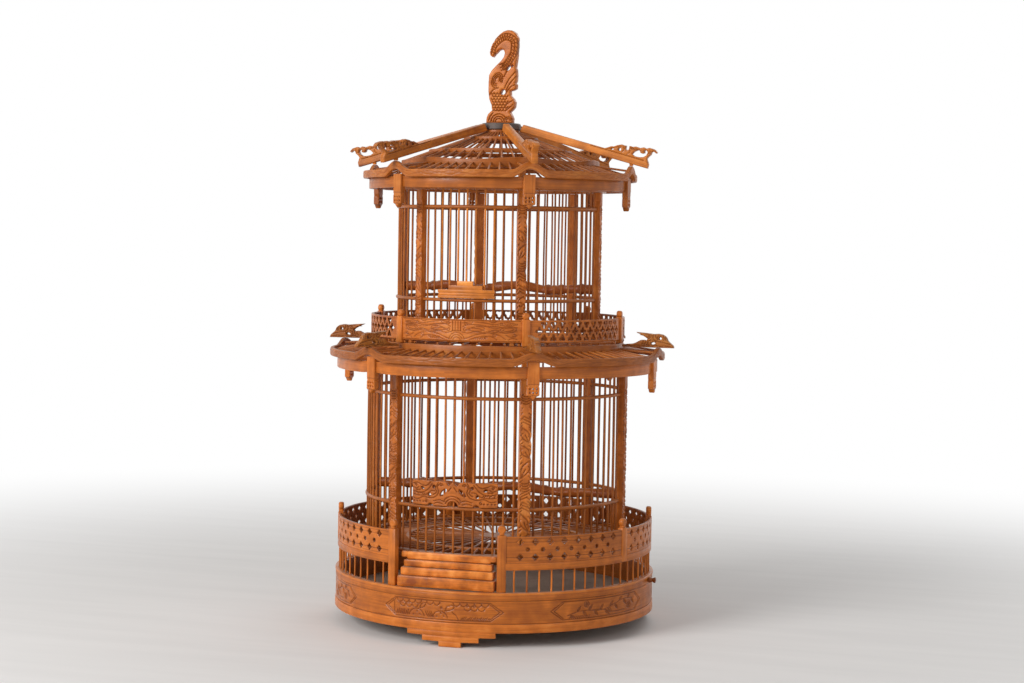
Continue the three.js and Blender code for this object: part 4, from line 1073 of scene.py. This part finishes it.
class AddLowerDoor(Step, bpy.types.Operator):
    """Lower sliding door: nine splints on a plaque pierced and carved with two mirrored beasts"""
    bl_idname = "cage.lower_door"
    bl_label = "Lower door"

    def execute(self, context):
        bottom = heights("lower_door")[0]
        radius = radius_of("lower_grille_1") - 0.55
        half, high = radius * math.radians(19), 28.8
        right = [(0, high), (2.4, high - 2.6), (5, high - 5), (6.6, high - 3), (8.4, high - 0.6), (16, high),
                 (25, high - 0.5), (34, high), (43, high - 0.4), (half - 1.4, high), (half, high - 1.6),
                 (half, 1), (half - 1, 0), (31.6, 0), (30.6, 1.7), (27.8, 3), (25, 1.7), (24, 0), (6.6, 0)]
        arch = arc((0, 0), 6.2, 12, 168, 13)[1:-1]
        outline = [*right, *arch, *flipped(right[:0:-1])]
        holes = []
        for side in (1, -1):
            holes += [round_hole((side * 11.4, 16), 11.4, 4.4, -side * 48, 18),
                      round_hole((side * 23, 22), 4), round_hole((side * 29, 12.4), 3.8),
                      round_hole((side * 38.6, 19.8), 4.6, 3.2, side * 25)]
        strokes = beast_strokes()
        parts = [board(outline, wrapped(radius, 0, bottom), 4.6, 0.55, holes, 1.0, strokes + flipped(strokes),
                       0.5, 1.1)]
        parts += door_rods(LOWER)
        add_piece("lower_door_carved", parts, "carved", "lower_door", "carved_bamboo", "lower_door")
        return {"FINISHED"}


class AddUpperDoor(Step, bpy.types.Operator):
    """Upper sliding door: seven splints on a stepped and grooved block"""
    bl_idname = "cage.upper_door"
    bl_label = "Upper door"

    def execute(self, context):
        bottom = heights("upper_door")[0]
        inner = radius_of("upper_grille_1") - 2.6
        parts = door_rods(UPPER)
        for half, low, high, depth in ((33.3, 0, 3.2, 5.6), (32.6, 3.2, 6.4, 5.0), (33.3, 6.4, 10, 5.6),
                                       (19.8, 9.8, 15, 5.2), (9, 14.8, 20, 4.8)):
            angle = math.asin(half / inner)
            section = band(inner, inner + depth, bottom + low, bottom + high, 0.5)
            parts.append(bent(section, -angle, angle, 1.5))
        add_piece("upper_door_block", parts, "fresh", "upper_door", "carved_bamboo", "upper_door")
        return {"FINISHED"}


class AddPerches(Step, bpy.types.Operator):
    """Two gnarled canes across the storeys"""
    bl_idname = "cage.perches"
    bl_label = "Perches"

    def execute(self, context):
        bends = np.pad([(-4.5, 2.5), (1, -3), (4, 1), (-2.5, 3.5), (2, -1.5)], ((2, 2), (0, 0)))
        turn = np.arange(18) * TAU / 18
        for name, radius, seed in (("lower_perch", 6.5, 3), ("upper_perch", 6.4, 8)):
            low, high = span(name)
            centre = np.column_stack([np.linspace(low[0], high[0], 9), bends + [0, (low[2] + high[2]) / 2]])
            path = smooth_line(centre, 150)
            share = np.linspace(0, 1, len(path))[:, None]
            knots = np.random.default_rng(seed).uniform(0.05, 0.95, 9)
            gap = np.abs(share - knots).min(1, keepdims=True)
            near, beside = np.exp(-(gap / 0.012) ** 2), np.exp(-(gap / 0.03) ** 2)
            girth = radius * (0.86 + 0.07 * np.sin(share * 41) + 0.26 * near - 0.1 * beside)
            girth[[0, -1]] *= 0.8
            girth = girth * (1 + 0.05 * np.sin(3 * turn + share * 30) + 0.03 * np.sin(7 * turn + share * 55))
            sections = path[:, None] + np.stack([0 * girth, girth * np.cos(turn), girth * np.sin(turn)], -1)
            parts = [loft(sections, groove=np.repeat(0.55 * near, 18, 1))]
            add_piece(name + "_cane", parts, "cane", "cage", "cane", name)
        return {"FINISHED"}


# Eaves and roofs

STRIP_TALL = 8.8  # height of an eave strip


def corner_gap(angles):
    """Degrees from an angle to the nearest of the six corners."""
    return np.abs((np.asarray(angles) / BAY) % 1 - 0.5) * math.degrees(BAY)


def corner_lift(angles, rise):
    """Height that the corners add to an eave: rise * (1 + cos(pi gap / 8 degrees)) / 2 near a corner."""
    gap = corner_gap(angles)
    return np.where(gap < 8, rise * (1 + np.cos(math.pi * np.minimum(gap, 8) / 8)) / 2, 0)


def waved_hoop(section, moved, lift):
    """A hoop whose moved section points are lifted, at each angle by a function of the corner gap."""
    angles = np.linspace(0, TAU, 360, endpoint=False)[:, None]
    rise = section[:, 1] + np.where(moved, lift(corner_gap(angles)), 0)
    return loft(at(section[:, 0], angles, rise), True)


def fascia(radius, bottom, top):
    """Plain curved board under an eave. Its bottom edge is lifted near the corners by
    1.6 * exp(-(gap / 4 degrees)^2)."""
    section = band(radius - 3, radius, bottom, top, 0.6)
    return waved_hoop(section, section[:, 1] < (bottom + top) / 2, lambda gap: 1.6 * np.exp(-(gap / 4) ** 2))


def pendant(radius, angle, bottom, top):
    """A flat drop with a notch in both sides, six small holes and a pointed end."""
    high = top - bottom
    outline = [(7, high), (-7, high), (-7, 17), (-6.2, 15.4), (-7, 13.6), (-7, 5), (-3.4, 3.4), (0, 0),
               (3.4, 3.4), (7, 5), (7, 13.6), (6.2, 15.4), (7, 17)]
    holes = [round_hole((s, t), 2.1, count=10) for s in (-4, 0, 4) for t in (8, 12.2)]
    strokes = [[(-6.5, 17.6), (6.5, 17.6)], [(-5, 3.8), (0, 5.2)], [(0, 5.2), (5, 3.8)]]
    return board(outline, facing(radius, angle, bottom), 7, 0.7, holes, 0.9, strokes, 0.4, 0.35, True)


def add_eave(storey):
    """Wall plate, arms, king blocks, fascia and pendants of one eave frame. The plate has a slot for the
    door's splints, the fascia stands out from the bar circle with its bottom under the plate's top, and
    the pendants rise above it."""
    name = storey.name + "_eave_frame"
    low, high = heights(name)
    plate = heights(storey.name + "_pillar_1")[1] + SEAT
    middle = bar_circle(storey)
    inner, king, face = middle - storey.plate_in, middle - storey.king_in, middle + storey.fascia_out
    outer, way = inner + 12, middle - BAR_INSET
    fascia_top = plate + 4 - storey.fascia_drop + storey.fascia_tall
    slot = (storey.door_bars - 1) / 2 * bar_pitch(storey) + 2.1 / middle
    parts = [bent(band(start, end, plate, plate + 4, edge), *limits) for start, end, edge, limits in (
        (inner, outer, 0.8, (slot, TAU - slot)), (inner, way - 1.6, 0.4, (-slot, slot)),
        (way + 1.6, outer, 0.4, (-slot, slot)))]
    parts.append(fascia(face, fascia_top - storey.fascia_tall, fascia_top))
    for angle in CORNERS:
        parts += [beam(at(king, angle, plate + 7.7), at(face - 2.4, angle, plate + 7.7), 6, 8, 0.7),
                  post(king, angle, plate + 3, high, 8, 7, 0.6),
                  pendant(face * math.cos(BAY / 10) + 0.5, angle, low, fascia_top + storey.pendant_rise)]
    add_piece(storey.name + "_eave_dressed", parts, storey.eave_look, "cage", "lacquered_bamboo", name)


def roof_levels(storey):
    """Seat of a roof on its eave frame, and bottom of its eave strip."""
    seat = heights(storey.name + "_eave_frame")[1] + SEAT
    return seat, seat - storey.strip_drop


def eave_strip(storey):
    """Moulded strip along an eave: its face swells by 0.6 * (1 - (t / half)^2), two wavy lines and small
    leaves are cut into it, and it is lifted at the corners."""
    outer, bottom = radius_of(storey.name + "_roof"), roof_levels(storey)[1]
    stations, bay = 1100, BAY * outer
    s = np.arange(stations) * TAU * outer / stations
    t = np.linspace(0, STRIP_TALL, 13)
    strokes = []
    for start in np.arange(0.5, BAYS) * bay:
        strokes += [ripple((start + 4, 3.6), (start + bay - 4, 3.6), 1.3, 6, 90),
                    ripple((start + 14, 5.4), (start + bay - 9, 5.4), 1.2, 5, 80)]
        for leaf in np.arange(start + 9, start + bay - 10, 13.5):
            strokes += [[(leaf, 6.2), (leaf + 4.4, 7.5)], [(leaf + 5, 1.6), (leaf + 8.4, 2.6)]]
    folded = np.where(s < bay / 2, s + TAU * outer, s)
    groove = carve(*np.meshgrid(folded, t, indexing="ij"), strokes, 0.42)
    crown = 0.6 * (1 - ((t - STRIP_TALL / 2) / (STRIP_TALL / 2)) ** 2)

    def place(s, t, depth):
        return at(outer + depth, s / outer, bottom + t + corner_lift(s / outer, storey.corner_rise))
    return relief(s, t, crown - 0.6 - 0.5 * groove, 0.4 * groove, 5, place, 0.9)


def skirt_rafters(storey, count, start, start_height, end_inset):
    """Sloping splints from a band down to the middle of the eave strip."""
    end, angles = radius_of(storey.name + "_roof") - end_inset, spread_round(count)
    end_heights = roof_levels(storey)[1] + 4.6 + corner_lift(angles, storey.corner_rise)
    return [spoke(angle, (start, start_height), (end, end_height), 2.5)
            for angle, end_height in zip(angles, end_heights)]


class AddLowerRoof(Step, bpy.types.Operator):
    """Lower eave frame, collar, rafters and the wavy eave strip"""
    bl_idname = "cage.lower_roof"
    bl_label = "Lower eave and roof"

    def execute(self, context):
        add_eave(LOWER)
        seat = roof_levels(LOWER)[0]
        parts = [bent(band(150, 153, seat, seat + 14, 0.7), pitch=1.5), eave_strip(LOWER)]
        parts += skirt_rafters(LOWER, 84, 151.5, seat + 7, 2.6)
        add_piece("lower_roof_dressed", parts, "splint", "cage", "bamboo_splints", "lower_roof")
        return {"FINISHED"}


# Outline of a bird head, in shares of its length and height

HEAD_OUTLINE = [
    (0, 0), (1, 0), (0.985, 0.17), (0.93, 0.33), (0.885, 0.47), (0.87, 0.63), (0.84, 0.76), (0.79, 0.87),
    (0.7, 0.93), (0.61, 0.9), (0.5, 0.94), (0.4, 0.97), (0.27, 1), (0.3, 0.93), (0.36, 0.87), (0.33, 0.82),
    (0.4, 0.78), (0.45, 0.68), (0.49, 0.58), (0.47, 0.46), (0.42, 0.5), (0.36, 0.49), (0.31, 0.4),
    (0.26, 0.3), (0.2, 0.23), (0.1, 0.2), (0, 0.16),
]


def head_strokes(size):
    """Knife work of a bird head: neck and beak lines, an eye, a curled comb and feathers."""
    strokes = curves(18, [(0.62, 0.86), (0.6, 0.62), (0.66, 0.44), (0.8, 0.36), (0.93, 0.24)],
                     [(0.84, 0.12), (0.92, 0.1), (0.99, 0.04)], [(0.66, 0.9), (0.65, 0.74), (0.7, 0.5)],
                     [(0.44, 0.9), (0.55, 0.84), (0.6, 0.74)], [(0.52, 0.14), (0.5, 0.36), (0.56, 0.5)],
                     size=size)
    strokes += [curl(size * [0.72, 0.62], 3.4, 30, 0.8), curl(size * [0.52, 0.72], 2.4, 200, 1),
                ripple(size * [0.05, 0.1], size * [0.8, 0.12], 0.6, 4, 40)]
    strokes += curves(6, *([(share, 0.86), (share + 0.025, 0.66), (share + 0.02, 0.5)]
                           for share in (0.79, 0.82, 0.85)), size=size)
    return strokes + curves(7, *([(s, 3.4), (s + 1.8, 5.6), (s + 2, 8)] for s in (24, 27, 30, 36, 39)))


class AddRidgeHeads(Step, bpy.types.Operator):
    """Six carved bird heads that stand on the corners of the lower roof"""
    bl_idname = "cage.ridge_heads"
    bl_label = "Ridge heads"

    def execute(self, context):
        bottom, top = heights("lower_ridge_head_1")
        size = np.array([63.0, top - bottom])
        holes = [round_hole(size * [0.74, 0.62], 3.2), round_hole(size * [0.6, 0.28], 5.4, 2.6, 10)]
        for number, angle in enumerate(CORNERS):
            parts = [board(size * HEAD_OUTLINE, edgewise(157, angle, bottom), 7, 0.55, holes, 1.3,
                           head_strokes(size), 0.45, 0.8, both=True)]
            name = f"lower_ridge_head_{number + 1}"
            add_piece(f"bird_head_{number + 1}", parts, "weathered", "cage", "carved_bamboo", name)
        return {"FINISHED"}


def panel_strokes(half, high):
    """Carving of the balcony's front panel: a fluted post on a hill in the middle, and on both sides a
    long-bodied beast with scales and legs among clouds."""
    strokes = curves(
        30,
        [(7, 21.4), (18, 23.4), (32, 22.2), (45, 20.4), (58, 22.8), (70, 21.2)],
        [(7, 17.2), (14, 19.8), (26, 20), (36, 17.6), (46, 16.4), (60, 18.8), (70, 17)],
        [(6, 11.4), (14, 10.2), (24, 12.4), (32, 9.8), (44, 13.4), (56, 10.6), (70, 12.6)],
        [(9, 3), (20, 7.4), (30, 10), (40, 10.8), (50, 7.8), (57, 3.4)],
        [(15, 2.4), (25, 5.4), (34, 7), (42, 6), (47, 2.6)], [(57, 8.6), (63, 6), (70, 8)],
        [(60, 3), (65, 4.8), (70, 3.4)], [(9, 24), (12, 21.4), (17, 21), (20, 24)],
        [(38, 24.2), (42, 22.6), (47, 24.2)], [(12, 14), (18, 16), (26, 15.6), (33, 13.2)])
    for *centre, wide, tall in ((24, 15, 17, 5.4), (60, 14.6, 19, 6.2), (60, 14.6, 12, 3.4), (45, 13, 7, 3)):
        coil = round_hole(centre, wide, tall, 4)
        strokes.append(np.concatenate([coil, coil[:1]]))
    strokes += [curl((43.6, 8.2), 2.6, 30, 1, -1), curl((67, 8.4), 2.4, 200, 1),
                curl((10.4, 14), 2.6, 90, 1.1), curl((34, 5), 2, 0, 1), curl((52, 20.8), 2, 160, 1.1, -1)]
    strokes += [arc((s, 20.2 + 1.2 * math.sin(s / 8)), 1.3, 200, 340, 6) for s in np.arange(10, 69, 2.8)]
    strokes += [arc((s, 11.8 + 1.3 * math.sin(s / 6)), 1.1, 20, 160, 6) for s in np.arange(13, 68, 3.1)]
    strokes += ticks(np.arange(20, 33, 2.4), 3.2, 1.6, 5.4) + ticks((1.6, 4.8), 13, 0, 23.6)
    strokes += [[(0, 12.4), (5.6, 12.4)], *(arc((0, 1), reach, 12, 90, 8) for reach in (4.4, 7, 9.6))]
    border = [[(-half + 1.6, t), (half - 1.6, t)] for t in (1.2, high - 1.2)]
    return strokes + flipped(strokes) + border


class AddBalcony(Step, bpy.types.Operator):
    """Balcony: deck, carved front panel, pierced lattice, and posts with flat finials"""
    bl_idname = "cage.balcony"
    bl_label = "Balcony"

    def execute(self, context):
        bottom, top = heights("balcony_deck")
        level, splints = (bottom + top) / 2, bottom + 1.6
        parts = [bent(band(117.5, 130, bottom, top, 0.7))]
        for number in range(12):
            angle = (number // 2) * BAY + (1 if number % 2 else -1) * math.radians(24)
            parts.append(beam(at(126, angle, level), at(153, angle, level), 5, top - bottom, 0.5))
        parts += [spoke(angle, (128, splints), (153.6, splints), 2.4, sides=7) for angle in spread_round(60)]
        add_piece("balcony_floor", parts, "splint", "cage", "lacquered_bamboo", "balcony_deck")

        low, high = heights("balcony_front_panel")
        radius, tall = radius_of("balcony_front_panel"), high - low
        middle, half = radius - 1.5, BAY / 2 * radius - 5.2
        box = [(-half, 0), (half, 0), (half, tall), (-half, tall)]
        parts = [board(box, wrapped(middle, 0, low), 3, 0.6, (), 0.6, panel_strokes(half, tall), 0.36, 0.7)]
        add_piece("front_panel_carved", parts, "carved", "cage", "carved_bamboo", "balcony_front_panel")

        spots = centred(12) * 11.6
        holes = [clover_hole((s, 13), 5.0, 4, 90, 28, 0.34) for s in spots]
        holes += [clover_hole((s, 13 + side * 7.8), 4.5, 3, -side * 90, 24, 0.30)
                  for s in (spots[1:] + spots[:-1]) / 2 for side in (1, -1)]
        # The lattice's backs and saw lines get painted shade.
        parts = [board(box, wrapped(middle, bay * BAY, low), 3, 0.58, holes, 0.35, painted_shade=0.75)
                 for bay in range(1, BAYS)]
        for angle in CORNERS:
            parts += [post(middle, angle, bottom, bottom + 31, 9.5, 7, 0.8),
                      finial(4.2, 8, bottom + 30.8, middle, angle)]
        add_piece("balcony_lattice", parts, "lacquer", "cage", "lacquered_bamboo", "balcony_railing")
        return {"FINISHED"}


class AddUpperRoof(Step, bpy.types.Operator):
    """Upper eave frame, scalloped band, two rings, crown, rafters and the wavy eave strip"""
    bl_idname = "cage.upper_roof"
    bl_label = "Upper eave and roof"

    def execute(self, context):
        add_eave(UPPER)
        seat = roof_levels(UPPER)[0]
        cone_foot, cone_low, cone_fall, crown_top = 118.5, seat + 8.6, 0.374, seat + 48.2
        section = band(117, 120, seat, seat + 11, 0.6)
        parts = [waved_hoop(section, section[:, 1] > seat + 5, lambda gap: 1.5 * np.cos(math.pi * gap / 30)),
                 eave_strip(UPPER)]
        for radius in (85, 43):
            level = cone_low + cone_fall * (cone_foot - radius)
            parts.append(bent(band(radius - 2, radius + 2, level - 3, level + 2.6, 0.9)))
        parts.append(bent(band(14, 23, crown_top - 4.4, crown_top, 0.6)))
        parts += [spoke(angle, (cone_foot, cone_low), (22, cone_low + cone_fall * (cone_foot - 22)), 2.5)
                  for angle in spread_round(48)]
        parts += skirt_rafters(UPPER, 72, cone_foot, seat + 5.6, 2.4)
        add_piece("upper_roof_dressed", parts, "splint", "cage", "bamboo_splints", "upper_roof")
        return {"FINISHED"}


# Crest and open jaws of a dragon head, in shares of the batten's length and of 15 mm over its bar

CREST = [
    (0.655, 0), (0.675, 0.12), (0.7, 0.3), (0.718, 0.33), (0.74, 0.5), (0.772, 0.66), (0.79, 0.62),
    (0.803, 0.66), (0.806, 0.4), (0.819, 0.3), (0.832, 0.42), (0.83, 0.72), (0.855, 0.7), (0.875, 0.8),
    (0.91, 0.78), (0.935, 0.92), (0.955, 0.86), (0.975, 1), (1.015, 0.98), (1.038, 0.82), (1.034, 0.7),
    (1.016, 0.8), (1.0, 0.74), (0.998, 0.5), (0.985, 0.3), (0.977, 0.1), (0.992, -0.15), (1.0, -0.3),
]
JAWS = [
    (0.862, 0.14), (0.885, 0.04), (0.92, 0.06), (0.95, 0.16), (0.968, 0.36), (0.972, 0.62), (0.958, 0.76),
    (0.944, 0.66), (0.95, 0.5), (0.938, 0.4), (0.922, 0.42), (0.912, 0.58), (0.896, 0.56), (0.876, 0.4),
]


class AddBattens(Step, bpy.types.Operator):
    """Six ridge battens that end in fretted dragon heads, each on a peg at the eave"""
    bl_idname = "cage.battens"
    bl_label = "Ridge battens"

    def execute(self, context):
        tall, start, peg = 9.75, 24.3, 163.5
        start_height = heights("hub")[1] - tall
        eave_top = roof_levels(UPPER)[1] + STRIP_TALL + UPPER.corner_rise + SEAT
        slope = math.atan((start_height - eave_top - 2.4) / (peg - start))
        length = (peg - start) / math.cos(slope) + 20.7
        bar = tall * math.cos(slope)
        size, shift = np.array([length, 15]), np.array([0, bar])
        outline = [(0, 0), (length, 0), *(CREST * size + shift)[::-1], (tall * math.sin(slope), bar)]
        holes = [JAWS * size + shift, round_hole((0.766 * length, bar + 3.6), 3.8),
                 round_hole((0.712 * length, bar + 1.4), 4, 1.7, 18)]
        strokes = curves(
            16, [(0.66, -0.1), (0.7, 0.12), (0.74, 0.34), (0.775, 0.48)],
            [(0.79, 0.1), (0.8, 0.3), (0.79, 0.5)], [(0.84, 0.56), (0.87, 0.56), (0.91, 0.66)],
            [(0.985, 0.86), (0.99, 0.66), (0.98, 0.5)], [(0.83, 0.02), (0.845, 0.24), (0.84, 0.44)],
            [(1.0, 0.9), (1.02, 0.86), (1.032, 0.76)], size=size, shift=shift)
        strokes += [[(0.55 * length, bar - 1.2), (0.96 * length, bar - 1.2)],
                    curl((0.755 * length, bar + 6.4), 1.8, 30, 1),
                    curl((0.855 * length, bar + 9), 1.5, 200, 1)]
        for number, angle in enumerate(CORNERS):
            carving = board(outline, edgewise(start, angle, start_height, slope), 8, 0.75, holes, 1.0,
                            strokes, 0.45, 0.8, both=True)
            out = np.hypot(*carving["points"].T[:2])
            carving["groove"] = np.maximum(carving["groove"], 0.3 * np.clip((out - 125) / 12, 0, 1))
            parts = [carving, post(peg, angle, eave_top, eave_top + 5, 4, 4, 0.4)]
            add_piece(f"dragon_batten_{number + 1}", parts, "fresh", "cage", "lacquered_bamboo",
                      f"ridge_batten_{number + 1}")
        return {"FINISHED"}


# Outline of the hook, in shares of 39 mm to each side of the axis and of its height over the hub

HOOK_OUTLINE = [
    (-0.28, 0.712), (-0.35, 0.728), (-0.375, 0.76), (-0.35, 0.81), (-0.3, 0.855), (-0.19, 0.91),
    (-0.06, 0.955), (0.06, 0.985), (0.2, 1), (0.34, 0.995), (0.46, 0.968), (0.535, 0.915), (0.545, 0.84),
    (0.53, 0.755), (0.5, 0.67), (0.47, 0.6), (0.5, 0.575), (0.515, 0.51), (0.505, 0.455), (0.47, 0.432),
    (0.51, 0.415), (0.5, 0.37), (0.4, 0.352), (0.31, 0.345), (0.32, 0.3), (0.42, 0.262), (0.475, 0.225),
    (0.46, 0.175), (0.4, 0.147), (0.31, 0.12), (0.37, 0.085), (0.41, 0.05), (0.4, 0), (-0.46, 0),
    (-0.45, 0.06), (-0.4, 0.1), (-0.28, 0.14), (-0.29, 0.19), (-0.37, 0.26), (-0.4, 0.34), (-0.4, 0.44),
    (-0.385, 0.52), (-0.3, 0.57), (-0.16, 0.62), (0.0, 0.672), (0.09, 0.715), (0.115, 0.755), (0.09, 0.782),
    (0.02, 0.796), (-0.08, 0.785), (-0.17, 0.752),
]


def hook_strokes(size):
    """Knife work of the hook: feathers along the neck, a shell at the shoulder, scales over the body and
    rolled waves at the foot."""
    spine = curves(80, [(-0.3, 0.74), (-0.22, 0.83), (-0.02, 0.9), (0.2, 0.925), (0.42, 0.88), (0.42, 0.76),
                        (0.3, 0.68), (0.16, 0.62), (0.0, 0.6)], size=size)[0]
    ahead = np.gradient(spine, axis=0)
    across = ahead[:, ::-1] * [-1, 1] / np.linalg.norm(ahead, axis=1, keepdims=True)
    strokes = [spine + across * offset for offset in (-3.6, 0.4, 4)]
    for here, side, step in zip(spine[2:76:3], across[2:76:3], ahead[2:76:3]):
        strokes += [[here + side * 0.4, here + side * 3.6 + step * 1.6],
                    [here - side * 3.2, here + step * 1.2]]
    strokes += [round_hole(size * [-0.1, 0.46], wide, tall, -24, 24)[:21]
                for wide, tall in ((12.9, 18.9), (9, 14.4), (5.1, 9.9))]
    for row in range(7):
        spots = np.arange(-0.24, 0.2, 0.1) + (row % 2) * 0.05
        strokes += [arc(size * [s, 0.15 + row * 0.03], 2, 190, 350, 6) for s in spots]
    strokes += [arc(size * [-0.03, 0.01], reach, 5, 175, 14) for reach in (4.4, 7, 10)]
    strokes += [arc(size * [0.27, 0.02], reach, 20, 150, 10) for reach in (3, 5)]
    return strokes + curves(
        16, [(0.16, 0.33), (0.3, 0.42), (0.5, 0.5)], [(0.14, 0.38), (0.28, 0.47), (0.48, 0.55)],
        [(0.2, 0.33), (0.34, 0.39), (0.47, 0.41)], [(0.12, 0.5), (0.2, 0.56), (0.2, 0.62)],
        [(-0.36, 0.3), (-0.22, 0.36), (-0.06, 0.38)], [(0.2, 0.14), (0.32, 0.17), (0.42, 0.2)],
        [(0.16, 0.18), (0.28, 0.22), (0.4, 0.24)], [(-0.36, 0.03), (-0.3, 0.08), (-0.22, 0.11)], size=size)


class AddHubAndHook(Step, bpy.types.Operator):
    """Dark hub of the roof, and the carved hook that swivels in it"""
    bl_idname = "cage.hub_and_hook"
    bl_label = "Hub and hook"

    def execute(self, context):
        bottom, top = heights("hub")
        radius, bore = radius_of("hub"), 3.5
        section = np.array([(bore, bottom), (radius - 1, bottom), (radius, bottom + 1), (radius, top - 1.2),
                            (radius - 1.2, top), (bore, top)])
        add_piece("hub_dark", [bent(section, pitch=4)], "horn", "cage", "black_horn", "hub")

        foot = top + SEAT
        size = np.array([39.0, heights("hook")[1] - top - SEAT])
        holes = [round_hole(size * [0.25, 0.59], 7.2, 3.8, 52), round_hole(size * [0.37, 0.615], 3, 2, 52),
                 round_hole(size * [0.08, 0.335], 6.6, 5.4, 60)]
        nut = bottom - SEAT
        shank = [(0, nut - 4.6), (5.4, nut - 4.6), (6, nut - 4), (6, nut - 0.4), (5.6, nut), (3, nut),
                 (3, top + 1), (0, top + 1)]
        parts = [board(HOOK_OUTLINE * size, facing(0, 0, foot), 12, 0.55, holes, 2.4, hook_strokes(size),
                       0.55, 1.5, both=True), turned(shank, 20)]
        add_piece("hook_carved", parts, "carved", "hook", "carved_bamboo", "hook")
        return {"FINISHED"}


# Stage

LAMPS = (
    ("key", (-1.6, -2.7, 1.6), 92, 1.5),
    ("fill", (2.4, -1.6, 1.5), 11, 1.8),
    ("rim", (0.6, 2.4, 2.0), 14, 1.6),
)
LAMP_TARGET = Vector((0, 0, 0.35))
FLOOR_LEVEL = -0.0004
CAMERA_YAW, CAMERA_PITCH, CAMERA_ROLL = (math.radians(angle) for angle in (-0.396, 3.056, 0.91))


def floor_finish():
    """Pale floor that fades into the white round it: the share of white grows with the distance from the
    middle, between 0.45 and 1.7 m."""
    made = Nodes(bpy.data.materials.new("stage floor"))
    place, tone = made.place(), np.array(bpy.context.scene.cage_colours.floor)
    length = made.add("ShaderNodeVectorMath", "Value", {"operation": "LENGTH"}, (place,))
    grain = made.noise(place, detail=4.0, stretch=(3, 26, 1))
    made.surface(Base_Color=made.ramp(grain, (0.3, tone * 0.97), (0.7, tone * 1.02)), Roughness=0.7)
    glow = made.add("ShaderNodeEmission", 0, Color=(1, 1, 1, 1), Strength=1.0)
    far = made.spread(length, 0.45, 1.7, 0.0, 1.0, "SMOOTHSTEP")
    faded = made.add("ShaderNodeMixShader", 0, None, (far, made.shader.outputs[0], glow))
    made.feed(made.tree.nodes["Material Output"].inputs["Surface"], faded)
    return made.owner


def white_surround():
    """A world that is white to the camera and in gloss, and gives a third of that light."""
    made = Nodes(bpy.data.worlds.new("surround"))
    seen = made.add("ShaderNodeLightPath", "Is Camera Ray")
    seen = made.sum("MAXIMUM", seen, seen.node.outputs["Is Glossy Ray"])
    made.surface(Color=(1, 1, 1, 1), Strength=made.spread(seen, 0, 1, 0.32, 1.0))
    return made.owner


def add_object(scene, name, data):
    """Puts an object for a mesh, a lamp or a camera in the scene."""
    made = bpy.data.objects.new(name, data)
    scene.collection.objects.link(made)
    return made


class AddStage(Step, bpy.types.Operator):
    """Pale floor, white surround, soft lamps and the camera"""
    bl_idname = "cage.stage"
    bl_label = "Stage"

    def execute(self, context):
        scene, sizes = context.scene, context.scene.cage_sizes
        mesh = bpy.data.meshes.new("floor")
        mesh.from_pydata([(x, y, FLOOR_LEVEL) for x, y in circle(6, 96)], [], [range(96)])
        mesh.materials.append(floor_finish())
        floor = add_object(scene, "floor", mesh)
        scene.world = white_surround()

        for name, place, power, size in LAMPS:
            lamp = bpy.data.lights.new(name, "AREA")
            lamp.energy, lamp.size = power, size
            holder = add_object(scene, name, lamp)
            holder.location = place
            holder.rotation_euler = (LAMP_TARGET - Vector(place)).to_track_quat("-Z", "Y").to_euler()

        lens = bpy.data.cameras.new("camera")
        lens.lens, lens.sensor_width, lens.clip_end = sizes.lens, 36, 50
        scene.camera = add_object(scene, "camera", lens)
        yaw, pitch = sizes.camera_azimuth + CAMERA_YAW, math.pi / 2 - CAMERA_PITCH
        view = Matrix.Translation(at(sizes.camera_distance, sizes.camera_azimuth, sizes.camera_height))
        for angle, axis in ((yaw, "Z"), (pitch, "X"), (CAMERA_ROLL, "Z")):
            view = view @ Matrix.Rotation(angle, 4, axis)
        scene.camera.matrix_world = view
        scene.view_settings.view_transform = "Standard"
        return {"FINISHED"}


STEPS = (AddStage, AddDrum, AddTrayAndPegs, AddGallery, AddStair, AddCageFloor, AddLowerStorey, AddLowerDoor,
         AddPerches, AddLowerRoof, AddRidgeHeads, AddBalcony, AddUpperStorey, AddUpperDoor, AddUpperRoof,
         AddBattens, AddHubAndHook)


class CagePanel(bpy.types.Panel):
    """Lists the steps that build the cage"""
    bl_idname = "VIEW3D_PT_bird_cage"
    bl_label = "Bird cage"
    bl_space_type = "VIEW_3D"
    bl_region_type = "UI"
    bl_category = "Bird cage"

    def draw(self, context):
        for group in (context.scene.cage_sizes, context.scene.cage_colours):
            for name in group.bl_rna.properties.keys():
                if name not in ("name", "rna_type"):
                    self.layout.prop(group, name)
        for step in STEPS:
            self.layout.operator(step.bl_idname)


CLASSES = (Colours, Sizes, *STEPS, CagePanel)


def register():
    for item in CLASSES:
        bpy.utils.register_class(item)
    bpy.types.Scene.cage_colours = PointerProperty(type=Colours)
    bpy.types.Scene.cage_sizes = PointerProperty(type=Sizes)


def unregister():
    del bpy.types.Scene.cage_sizes
    del bpy.types.Scene.cage_colours
    for item in reversed(CLASSES):
        bpy.utils.unregister_class(item)


def main():
    register()
    for step in STEPS:
        group, name = step.bl_idname.split(".")
        getattr(getattr(bpy.ops, group), name)()


if __name__ == "__main__":
    main()
